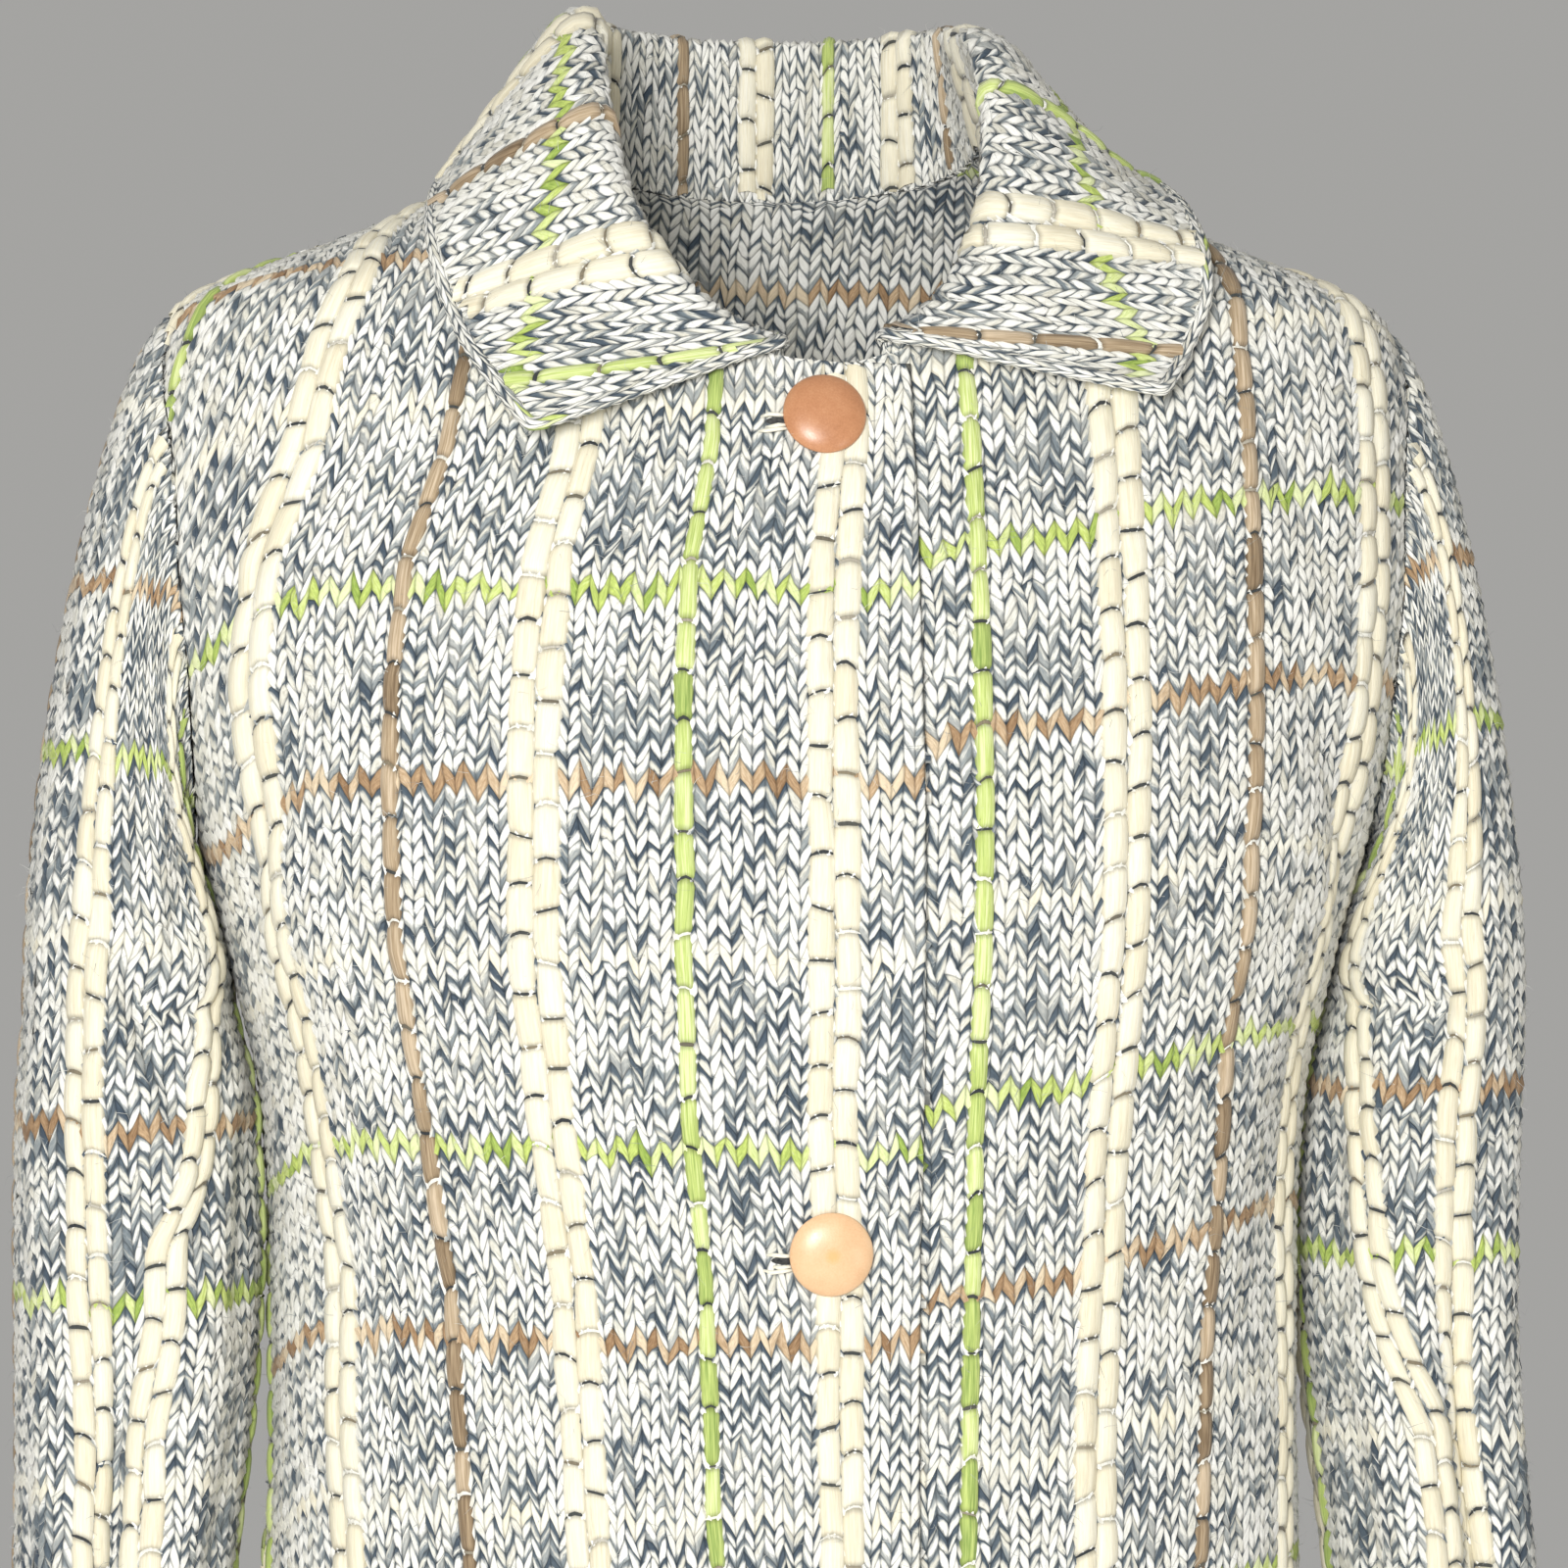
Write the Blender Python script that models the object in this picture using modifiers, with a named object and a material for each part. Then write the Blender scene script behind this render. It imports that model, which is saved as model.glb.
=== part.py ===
"""A mohair coat, hollow and in the pose in which it is worn.

Metres, +Z up. The front faces -Y and the wearer's left is +X. The origin lies between the two
points where the shoulder seams meet the collar, on the line that rests on the wearer.
Every piece of cloth is a sheet of points on the coat's outer side, and a wall is added inwards.
"""

import math
from collections import namedtuple

import bmesh
import bpy
import numpy as np

# ---- driving sizes
WALL = 0.003  # the knit's thickness
SEAM = 0.0003  # half of the space between two pieces at a seam
SLEEVE_SEAM = 0.0007  # from an armhole's edge to its sleeve
HEM = -0.880
UNDERARM = -0.250
SHOULDER = -0.065  # where the shoulder seam meets the sleeve
NECK_HALF = 0.075  # half of the neck's width at the shoulder seams
NECK_FRONT = -0.088  # the neck's lowest place in front
NECK_BACK = -0.014
LAP = 0.031  # how far each front passes the centre
LAP_SPACE = 0.0010  # between the two fronts there
LAP_FADE = (0.036, 0.085)  # over this stretch the top front comes down to the body
ARMHOLE_FRONT = 0.047  # how far the armhole reaches forwards, and back
ARMHOLE_BACK = 0.056
ROUNDNESS = 2.35  # of the body's sections: 2 is an ellipse, more is squarer
Button = namedtuple("Button", "name height clear")
BUTTONS = (
    Button("button_top", -0.107, 0.0004),
    Button("button_middle", -0.389, 0.0011),
    Button("button_bottom", -0.671, 0.0006),
)
BUTTON_RADIUS = 0.0143
BUTTON_DOME = 0.0062
BUTTON_RIM = 0.0016  # the straight part of its side
SHANK_RADIUS = 0.0045
SHANK_LENGTH = 0.0022

# ---- how finely each piece is divided
ROWS, ROWS_ARM = 29, 12  # from hem to shoulder, and along the armhole alone
ARMHOLE_STARTS = 1 - ROWS_ARM / ROWS
ACROSS_LAP, ACROSS_FRONT, ACROSS_BACK = 2, 13, 24
EDGE_LAG = 0.02  # a row that ends at the underarm meets the front edge this much lower
LAP_ENDS = 0.11  # the share of a front that laps past the centre
NECK_SHARE = 0.40  # the share of the columns that end at the neckline
BY_SEAM = 0.01  # a narrow first row or column, so that the walls meet square at a seam
BY_ARMHOLE = 0.03  # and the same at the top of a sleeve
UP = [k / ROWS for k in range(ROWS)] + [1 - BY_SEAM, 1]
SLEEVE_AROUND, SLEEVE_CAP, SLEEVE_LENGTH = 2 * ROWS_ARM, 7, 11
COLLAR_HALF = 15

Section = namedtuple("Section", "height half_width front back")
BODY = (
    Section(HEM, 0.230, 0.152, 0.150),
    Section(-0.750, 0.219, 0.142, 0.141),
    Section(-0.600, 0.199, 0.130, 0.127),
    Section(-0.513, 0.186, 0.123, 0.110),
    Section(-0.450, 0.184, 0.121, 0.100),
    Section(-0.390, 0.1845, 0.124, 0.098),
    Section(-0.340, 0.188, 0.131, 0.102),
    Section(-0.300, 0.197, 0.136, 0.108),
    Section(UNDERARM, 0.210, 0.137, 0.114),
    Section(-0.200, 0.221, 0.131, 0.117),
    Section(-0.150, 0.228, 0.120, 0.115),
    Section(-0.100, 0.228, 0.105, 0.107),
    Section(SHOULDER, 0.219, 0.093, 0.096),
    Section(-0.033, 0.148, 0.080, 0.078),
    Section(0.000, NECK_HALF, 0.064, 0.056),
)

Fold = namedtuple("Fold", "around lean low high width depth")
# Folds of the body: around is metres of cloth from the centre line, lean is metres sideways for
# each metre up, and a positive depth stands out.
FRONT_FOLDS = (
    Fold(0.120, -0.10, -1.05, -0.52, 0.030, 0.0085),
    Fold(0.235, -0.16, -1.05, -0.50, 0.028, 0.0075),
    Fold(0.178, -0.12, -1.05, -0.56, 0.024, -0.0060),
    Fold(0.060, -0.05, -0.62, -0.28, 0.026, 0.0030),
    Fold(0.195, 0.30, -0.47, -0.24, 0.024, -0.0050),
    Fold(0.205, -0.55, -0.30, -0.17, 0.016, -0.0045),
)
BACK_FOLDS = (
    Fold(0.105, -0.08, -1.05, -0.50, 0.030, 0.0080),
    Fold(0.225, -0.15, -1.05, -0.52, 0.028, 0.0070),
    Fold(0.165, -0.10, -1.05, -0.54, 0.024, -0.0055),
    Fold(0.120, 0.25, -0.52, -0.30, 0.026, -0.0045),
    Fold(0.190, -0.45, -0.30, -0.15, 0.018, -0.0045),
)

Cuff = namedtuple("Cuff", "height centre_x centre_y half_width half_depth")
ARM_RIGHT = (
    Cuff(-0.645, 0.2420, -0.040, 0.0365, 0.0490),
    Cuff(-0.580, 0.2395, -0.027, 0.0370, 0.0520),
    Cuff(-0.513, 0.2365, -0.016, 0.0380, 0.0550),
    Cuff(-0.440, 0.2320, -0.009, 0.0420, 0.0575),
    Cuff(-0.390, 0.2310, -0.005, 0.0435, 0.0595),
    Cuff(-0.350, 0.2315, -0.002, 0.0425, 0.0610),
    Cuff(-0.310, 0.2345, 0.000, 0.0365, 0.0620),
)
ARM_LEFT = (
    Cuff(-0.645, 0.2410, -0.038, 0.0365, 0.0490),
    Cuff(-0.580, 0.2375, -0.025, 0.0370, 0.0520),
    Cuff(-0.513, 0.2335, -0.015, 0.0365, 0.0550),
    Cuff(-0.440, 0.2275, -0.009, 0.0375, 0.0575),
    Cuff(-0.390, 0.2260, -0.005, 0.0385, 0.0595),
    Cuff(-0.350, 0.2280, -0.002, 0.0375, 0.0610),
    Cuff(-0.310, 0.2330, 0.000, 0.0340, 0.0620),
)
ARM_TOP = ARM_RIGHT[-1].height
# Folds of a sleeve: around is in turns from the outer side, 0.25 is the front and 0.5 is inside.
SLEEVE_FOLDS = (
    Fold(0.215, 0.10, -0.72, -0.33, 0.034, -0.0085),
    Fold(0.320, 0.35, -0.60, -0.40, 0.040, 0.0035),
    Fold(0.330, 0.90, -0.37, -0.25, 0.034, -0.0050),
    Fold(0.120, -0.20, -0.60, -0.22, 0.038, 0.0030),
    Fold(0.740, -0.12, -0.70, -0.30, 0.036, -0.0070),
    Fold(0.640, -0.60, -0.40, -0.24, 0.036, -0.0045),
    Fold(0.860, 0.25, -0.58, -0.30, 0.040, 0.0030),
)

Leaf = namedtuple("Leaf", "share neck_angle stand lean edge_x edge_y edge_z")
# Half of the collar, from its point to the centre back: where it is sewn on, how high it
# stands there and how far it leans out, and where its outer edge lies.
COLLAR_RIGHT = (
    Leaf(0.00, 10, 0.0085, 0.000, 0.1010, -0.124, -0.110),
    Leaf(0.12, 27, 0.0115, 0.003, 0.1130, -0.112, -0.093),
    Leaf(0.26, 46, 0.0200, 0.007, 0.1230, -0.095, -0.075),
    Leaf(0.40, 66, 0.0335, 0.002, 0.1270, -0.062, -0.054),
    Leaf(0.54, 88, 0.0455, -0.003, 0.1215, -0.018, -0.027),
    Leaf(0.70, 115, 0.0540, -0.003, 0.1030, 0.050, -0.033),
    Leaf(0.85, 146, 0.0580, -0.001, 0.0640, 0.086, -0.048),
    Leaf(1.00, 180, 0.0590, 0.000, 0.0000, 0.102, -0.052),
)
COLLAR_LEFT = (
    Leaf(0.00, 17, 0.0085, 0.000, 0.1180, -0.110, -0.095),
    Leaf(0.12, 33, 0.0115, 0.000, 0.1270, -0.095, -0.083),
    Leaf(0.26, 50, 0.0200, -0.002, 0.1330, -0.072, -0.067),
    Leaf(0.40, 68, 0.0325, -0.008, 0.1310, -0.050, -0.051),
    Leaf(0.54, 89, 0.0420, -0.012, 0.1215, -0.012, -0.030),
    Leaf(0.70, 115, 0.0530, -0.007, 0.1015, 0.050, -0.034),
    Leaf(0.85, 146, 0.0580, -0.001, 0.0640, 0.086, -0.048),
    Leaf(1.00, 180, 0.0590, 0.000, 0.0000, 0.102, -0.052),
)
ROLL = 0.0058  # the radius over which the collar turns down
COLLAR_LIFT = 0.0050  # from the body's cloth to the collar's outer side
FOLD_LIFT = 0.0030  # and this much more by the fold
COLLAR_BULGE = 0.012  # how far the collar's fall is rounded, for each metre of its length
NECK_CENTRE = -0.012  # the collar leans away from this place between front and back


def smooth(table, field, at):
    """Reads one column of a table along a soft curve that never passes its values."""
    x = np.array([row[0] for row in table], float)
    y = np.array([getattr(row, field) for row in table], float)
    step = np.diff(x)
    slope = np.diff(y) / step
    tangent = np.zeros_like(y)
    same = slope[1:] * slope[:-1] > 0
    harmonic = 2 * slope[1:] * slope[:-1] / np.where(same, slope[1:] + slope[:-1], 1)
    tangent[1:-1] = np.where(same, harmonic, 0)
    tangent[0], tangent[-1] = slope[0], slope[-1]
    at = np.clip(at, x[0], x[-1])
    i = np.clip(np.searchsorted(x, at) - 1, 0, len(step) - 1)
    t = (at - x[i]) / step[i]
    start = y[i] * (1 + 2 * t) + tangent[i] * step[i] * t
    end = y[i + 1] * (3 - 2 * t) - tangent[i + 1] * step[i] * (1 - t)
    return start * (1 - t) ** 2 + end * t**2


def ease(value, start, end):
    """0 before start, 1 after end and a soft step between."""
    t = np.clip((value - start) / (end - start), 0, 1)
    return t * t * (3 - 2 * t)


def fold_height(folds, around, height, turn=None):
    """How far the folds move the cloth out at a place; turn is the length of a full turn."""
    total = 0.0
    for fold in folds:
        middle = (fold.low + fold.high) / 2
        away = around - fold.around - fold.lean * (height - middle)
        if turn:
            away = (away + turn / 2) % turn - turn / 2
        fade = (fold.high - fold.low) / 3
        lasting = ease(height, fold.low, fold.low + fade) * ease(-height, -fold.high, fade - fold.high)
        total = total + fold.depth * np.exp(-((away / fold.width) ** 2)) * lasting
    return total


# ---- the body's surface
def ring(height, side):
    """A quarter of the body's section from the centre line to the side: cloth length, x and y."""
    angle = np.linspace(0, math.pi / 2, 91)
    half_width = smooth(BODY, "half_width", height)
    depth = smooth(BODY, side, height)
    x = half_width * np.sin(angle) ** (2 / ROUNDNESS)
    y = depth * np.cos(angle) ** (2 / ROUNDNESS)
    length = np.concatenate([[0], np.cumsum(np.hypot(np.diff(x), np.diff(y)))])
    return length, x, y


def to_side(height, side):
    """The cloth's length from the centre line to the side seam or shoulder seam."""
    return ring(height, side)[0][-1]


def length_at_x(height, side, x):
    length, xs, _ = ring(height, side)
    return float(np.interp(x, xs, length))


def length_at_y(height, side, y):
    length, _, ys = ring(height, side)
    return float(np.interp(-abs(y), -ys, length))


def on_ring(around, height, side):
    length, xs, ys = ring(height, side)
    reach = min(abs(around), length[-1])
    x = float(np.interp(reach, length, xs)) * (1 if around >= 0 else -1)
    y = float(np.interp(reach, length, ys)) * (-1 if side == "front" else 1)
    return np.array([x, y, height])


def body_normal(around, height, side):
    """Points out of the cloth."""
    limit = to_side(height, side)
    near = min(max(around, -limit), limit - 0.002)
    along = on_ring(near + 0.002, height, side) - on_ring(near - 0.002, height, side)
    below, above = max(height - 0.002, HEM), min(height + 0.002, 0.0)
    up = on_ring(near, above, side) - on_ring(near, below, side)
    normal = np.cross(along, up) * (1 if side == "front" else -1)
    return normal / np.linalg.norm(normal)


def on_body(around, height, side, out=0.0):
    """A point of the coat's outer side; around is counted from the centre line."""
    folds = FRONT_FOLDS if side == "front" else BACK_FOLDS
    out = out + float(fold_height(folds, abs(around), height))
    return on_ring(around, height, side) + out * body_normal(around, height, side)


def lap_lift(around):
    """How far the right front lies outside the left one; around grows away from the centre."""
    return (WALL + LAP_SPACE) * (1 - ease(around, *LAP_FADE))


# ---- the seams, as places on the cloth: (around, height)
def armhole(turn, side):
    """turn is 0 at the underarm and 1 at the shoulder."""
    angle = math.pi * (1 - turn)
    height = (SHOULDER + UNDERARM) / 2 + (SHOULDER - UNDERARM) / 2 * math.cos(angle)
    reach = ARMHOLE_FRONT if side == "front" else ARMHOLE_BACK
    y = reach * math.sin(angle) * (1 - 0.15 * math.cos(angle))
    return length_at_y(height, side, y), height


def neckline(angle, side):
    """angle is 0 at the centre line and 90 at the shoulder seam."""
    low = NECK_FRONT if side == "front" else NECK_BACK
    turn = math.radians(angle)
    height = low * math.cos(turn)
    return length_at_x(height, side, NECK_HALF * math.sin(turn)), height


def fill(bottom, top, left, right, across, up):
    """A net of points inside four edges; each edge gives (around, height) at a share of its length.

    Up to the underarm the rows follow the bottom edge, and from there on more and more the top one.
    """
    low, high = (np.array([edge(share) for share in across])[None] for edge in (bottom, top))
    first, last = (np.array([edge(share) for share in up])[:, None] for edge in (left, right))
    x, y = np.array(across)[None, :, None], np.array(up)[:, None, None]
    rise = ease(y, ARMHOLE_STARTS, 1)
    bend_low = low - (1 - x) * low[0, 0] - x * low[0, -1]
    bend_high = high - (1 - x) * high[0, 0] - x * high[0, -1]
    return (1 - x) * first + x * last + (1 - rise) * bend_low + rise * bend_high


def side_edge(share, side):
    """The side seam from the hem up, then the armhole up to the shoulder."""
    if share <= ARMHOLE_STARTS:
        height = HEM + (UNDERARM - HEM) * share / ARMHOLE_STARTS
        return to_side(height, side) - SEAM, height
    around, height = armhole((share - ARMHOLE_STARTS) / (1 - ARMHOLE_STARTS), side)
    return around - SEAM, height


def top_edge(share, side, neck_ends):
    """The neckline from the centre line, then the shoulder seam down to the sleeve."""
    if share < neck_ends:
        return neckline(90 * share / neck_ends, side)
    height = SHOULDER * (share - neck_ends) / (1 - neck_ends)
    return to_side(height, side) - SEAM, height


# ---- making pieces
def material(name, colour, roughness):
    made = bpy.data.materials.new(name)
    made.use_nodes = True
    surface = made.node_tree.nodes["Principled BSDF"]
    surface.inputs["Base Color"].default_value = (*colour, 1)
    surface.inputs["Roughness"].default_value = roughness
    surface.inputs["Metallic"].default_value = 0.0
    return made


def sheet(name, net, finish, closed=False, thickness=WALL):
    """Lofts rows of points into a sheet, and thickens it away from the side that faces out."""
    mesh = bmesh.new()
    rows = [[mesh.verts.new(point) for point in row] for row in net]
    for low, high in zip(rows, rows[1:]):
        count = len(low)
        for k in range(count if closed else count - 1):
            n = (k + 1) % count
            mesh.faces.new((low[k], low[n], high[n], high[k]))
    data = bpy.data.meshes.new(name)
    mesh.to_mesh(data)
    mesh.free()
    data.materials.append(finish)
    piece = bpy.data.objects.new(name, data)
    coat.objects.link(piece)
    wall = piece.modifiers.new("wall", "SOLIDIFY")
    wall.thickness = thickness
    wall.offset = -1
    wall.use_even_offset = False
    data.shade_smooth()
    data.set_sharp_from_angle(angle=math.radians(60))
    return piece


def make_front(name, hand, finish):
    """One front; hand is -1 for the wearer's right, which laps over the left."""

    def top(share):
        if share < LAP_ENDS:
            return -LAP * (1 - share / LAP_ENDS), NECK_FRONT
        return top_edge((share - LAP_ENDS) / (1 - LAP_ENDS), "front", NECK_SHARE)

    def bottom(share):
        if share < LAP_ENDS:
            return -LAP * (1 - share / LAP_ENDS), HEM
        return (to_side(HEM, "front") - SEAM) * (share - LAP_ENDS) / (1 - LAP_ENDS), HEM

    def front_edge(share):
        bend = UNDERARM - EDGE_LAG
        low = HEM + (bend - HEM) * min(share / ARMHOLE_STARTS, 1)
        high = (NECK_FRONT - bend) * max(share - ARMHOLE_STARTS, 0) / (1 - ARMHOLE_STARTS)
        return -LAP, low + high

    def side(share):
        return side_edge(share, "front")

    lap = [LAP_ENDS * k / ACROSS_LAP for k in range(ACROSS_LAP)]
    across = lap + [LAP_ENDS + (1 - LAP_ENDS) * k / ACROSS_FRONT for k in range(ACROSS_FRONT)]
    net = []
    for row in fill(bottom, top, front_edge, side, across + [1 - BY_SEAM, 1], UP):
        points = []
        for around, height in row:
            lift = lap_lift(around) if hand < 0 else 0.0
            point = on_body(around, height, "front", lift)
            points.append((point[0] * hand, point[1], point[2]))
        net.append(points[::hand])
    return sheet(name, net, finish)


def make_back(finish):
    def mirrored(edge):
        def both(share):
            around, height = edge(abs(2 * share - 1))
            return around * (1 if share >= 0.5 else -1), height

        return both

    def right(share):
        return side_edge(share, "back")

    def left(share):
        around, height = side_edge(share, "back")
        return -around, height

    top = mirrored(lambda share: top_edge(share, "back", NECK_SHARE))
    bottom = mirrored(lambda share: ((to_side(HEM, "back") - SEAM) * share, HEM))
    inner = [k / ACROSS_BACK for k in range(1, ACROSS_BACK)]
    across = [0, BY_SEAM / 2] + inner + [1 - BY_SEAM / 2, 1]
    net = []
    for row in fill(bottom, top, left, right, across, UP):
        points = [on_body(around, height, "back") for around, height in row]
        net.append(points[::-1])
    return sheet("back", net, finish)


def arm_point(arm, turn, height):
    """A point of the sleeve below its cap; turn is counted from the outer side to the front."""
    angle = 2 * math.pi * turn
    power = 2 / 2.15
    cosine, sine = math.cos(angle), math.sin(angle)
    out = float(fold_height(SLEEVE_FOLDS, turn, height, 1.0))
    half_width = smooth(arm, "half_width", height)
    half_depth = smooth(arm, "half_depth", height)
    normal = np.array([cosine / half_width, -sine / half_depth])
    normal /= np.linalg.norm(normal)
    x = smooth(arm, "centre_x", height) + half_width * math.copysign(abs(cosine) ** power, cosine)
    y = smooth(arm, "centre_y", height) - half_depth * math.copysign(abs(sine) ** power, sine)
    return np.array([x + out * normal[0], y + out * normal[1], height])


def cap_point(arm, turn, rise):
    """A point between the armhole, where rise is 0, and the top of the straight sleeve.

    It leaves the armhole outwards and arrives downwards, both more widely over the shoulder.
    """
    front = turn % 1.0 <= 0.5
    side = "front" if front else "back"
    up = abs(1 - 2 * (turn % 1.0))
    around, height = armhole(up, side)
    start = on_ring(around, height, side) + np.array([SLEEVE_SEAM, 0, 0])
    start += float(fold_height(FRONT_FOLDS if front else BACK_FOLDS, around, height)) * body_normal(
        around, height, side
    )
    end = arm_point(arm, turn, ARM_TOP)
    leave = np.array([0.024 + 0.036 * up**1.5, 0, -0.012 - 0.010 * up])
    arrive = np.array([0, 0, -0.10 - 0.20 * up])
    t = rise
    point = start * (1 + 2 * t) * (1 - t) ** 2 + end * t * t * (3 - 2 * t)
    point += leave * t * (1 - t) ** 2 - arrive * t * t * (1 - t)
    folds = float(fold_height(SLEEVE_FOLDS, turn, point[2], 1.0)) * ease(rise, 0, 0.5) * (1 - ease(rise, 0.6, 1))
    return point + folds * np.array([0, -1 if front else 1, 0])


def make_sleeve(name, hand, arm, finish):
    net = []
    turns = [k / SLEEVE_AROUND for k in range(SLEEVE_AROUND)]
    for k in range(SLEEVE_LENGTH):
        height = arm[0].height + (ARM_TOP - arm[0].height) * k / SLEEVE_LENGTH
        net.append([arm_point(arm, turn, height) for turn in turns])
    for rise in [1 - k / SLEEVE_CAP for k in range(SLEEVE_CAP)] + [BY_ARMHOLE, 0]:
        net.append([cap_point(arm, turn, rise) for turn in turns])
    net = [[(x * hand, y, z) for x, y, z in row] for row in net]
    if hand > 0:
        net = [row[::-1] for row in net]
    return sheet(name, net, finish, closed=True)


def clear_of_body(point, distance):
    """Moves a point straight out until it is this far from the body's cloth."""
    point = np.array(point, float)

    def outside(place):
        height = min(place[2], 0.0)
        half_width = smooth(BODY, "half_width", height)
        depth = smooth(BODY, "front" if place[1] < 0 else "back", height)
        x, y = abs(place[0]) / half_width, abs(place[1]) / depth
        return (x**ROUNDNESS + y**ROUNDNESS) ** (1 / ROUNDNESS) - 1

    for _ in range(12):
        here = outside(point)
        slope = np.array([outside(point + step) - here for step in np.eye(3) * 1e-4]) / 1e-4
        steep = np.linalg.norm(slope)
        missing = distance - here / steep
        if missing <= 0:
            break
        point = point + slope / steep * missing
    return point


def collar_line(table, share, hand):
    """The collar's section at one place: from its seam up the stand, over and down to its edge."""
    angle = smooth(table, "neck_angle", share)
    side = "front" if angle <= 90 else "back"
    around, height = neckline(angle if side == "front" else 180 - angle, side)
    seam = on_ring(around, height, side)
    away = np.array([seam[0], seam[1] - NECK_CENTRE, 0])
    away /= np.linalg.norm(away)
    stand = smooth(table, "stand", share)
    foot = seam - away * WALL + np.array([0, 0, 2 * SEAM])
    top = foot + away * smooth(table, "lean", share) + np.array([0, 0, stand])
    edge = np.array([smooth(table, field, share) for field in ("edge_x", "edge_y", "edge_z")])
    lap = lap_lift(0) * (1 - ease(edge[0], *LAP_FADE)) if hand < 0 else 0.0
    edge = clear_of_body(edge, COLLAR_LIFT + lap)
    roll = min(ROLL, stand * 0.62)
    below = top - np.array([0, 0, roll])
    turned = top + away * 2.1 * roll - np.array([0, 0, 0.4 * roll])
    line = [foot, (foot + below) / 2, below]
    line += [top - away * 0.05 * roll - [0, 0, 0.3 * roll], top + away * 0.8 * roll, turned]
    bulge = COLLAR_BULGE * np.linalg.norm(edge - turned) * min(stand / 0.05, 1)
    for t in np.linspace(0, 1, 7)[1:]:
        round_out = bulge * math.sin(math.pi * t**0.7) * (1 - t)
        point = turned * (1 - t) + edge * t + np.array([away[0], away[1], 0.9]) * round_out
        near_fold = 1 - ease(t, 0.0, 0.6)
        lap = lap_lift(abs(point[0])) if hand < 0 else lap_lift(-point[0])
        line.append(clear_of_body(point, COLLAR_LIFT + near_fold * FOLD_LIFT + lap))
    return line


def make_collar(finish):
    shares = np.linspace(0, 1, COLLAR_HALF + 1)
    right = [collar_line(COLLAR_RIGHT, share, -1) for share in shares]
    left = [collar_line(COLLAR_LEFT, share, 1) for share in shares]
    right = [[(-x, y, z) for x, y, z in line] for line in right]
    around = right + left[-2::-1]
    net = [[line[k] for line in around] for k in range(len(around[0]))]
    return sheet("collar", [row[::-1] for row in net], finish)


def make_button(button, finish):
    """A turned dome with a short shank behind it, square to the cloth."""
    name, height, clear = button
    foot = SHANK_LENGTH + BUTTON_RIM
    dome = [(BUTTON_RADIUS * math.sin(a), foot + (BUTTON_DOME - BUTTON_RIM) * math.cos(a))
            for a in np.linspace(0, math.pi / 2, 5)]
    rim = [(BUTTON_RADIUS * 0.985, SHANK_LENGTH + 0.0004), (BUTTON_RADIUS * 0.9, SHANK_LENGTH)]
    shank = [(SHANK_RADIUS, SHANK_LENGTH), (SHANK_RADIUS, 0), (0, 0)]
    profile = dome + rim + shank
    data = bpy.data.meshes.new(name)
    edges = [(k, k + 1) for k in range(len(profile) - 1)]
    data.from_pydata([(r, 0, z) for r, z in profile], edges, [])
    data.materials.append(finish)
    piece = bpy.data.objects.new(name, data)
    coat.objects.link(piece)
    turned = piece.modifiers.new("turned", "SCREW")
    turned.steps = turned.render_steps = 16
    turned.use_merge_vertices = True
    turned.merge_threshold = 0.00001
    normal = body_normal(0.0, height, "front")
    piece.location = on_body(0.0, height, "front", lap_lift(0.0) + clear)
    piece.rotation_euler = (math.atan2(-normal[1], normal[2]), 0, 0)
    return piece


for old in list(bpy.data.objects):
    bpy.data.objects.remove(old)
coat = bpy.data.collections.new("mohair_coat")
bpy.context.scene.collection.children.link(coat)

KNIT = material("marled_knit", (0.42, 0.42, 0.38), 0.9)
COLLAR_KNIT = material("marled_collar_knit", (0.40, 0.40, 0.36), 0.9)
LEATHER = material("tan_button", (0.62, 0.33, 0.17), 0.45)

make_front("front_right", -1, KNIT)
make_front("front_left", 1, KNIT)
make_back(KNIT)
make_sleeve("sleeve_right", -1, ARM_RIGHT, KNIT)
make_sleeve("sleeve_left", 1, ARM_LEFT, KNIT)
make_collar(COLLAR_KNIT)
for each in BUTTONS:
    make_button(each, LEATHER)
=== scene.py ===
# %% [markdown]
# # A mohair coat, worn and empty
# A hip-to-thigh length coat, knitted in thick marled yarn with a fuzzy nap. Upright ribbons of
# cream, green and brown yarn float over the knit, and thin coloured rows cross them, so that the
# cloth has a windowpane check. This lesson dresses a plain model of the coat in its real cloth.
# We start by loading that model as a fixed frame.

import math
from collections import namedtuple

import bmesh
import bpy
import numpy as np
from mathutils import Matrix, Vector


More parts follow.
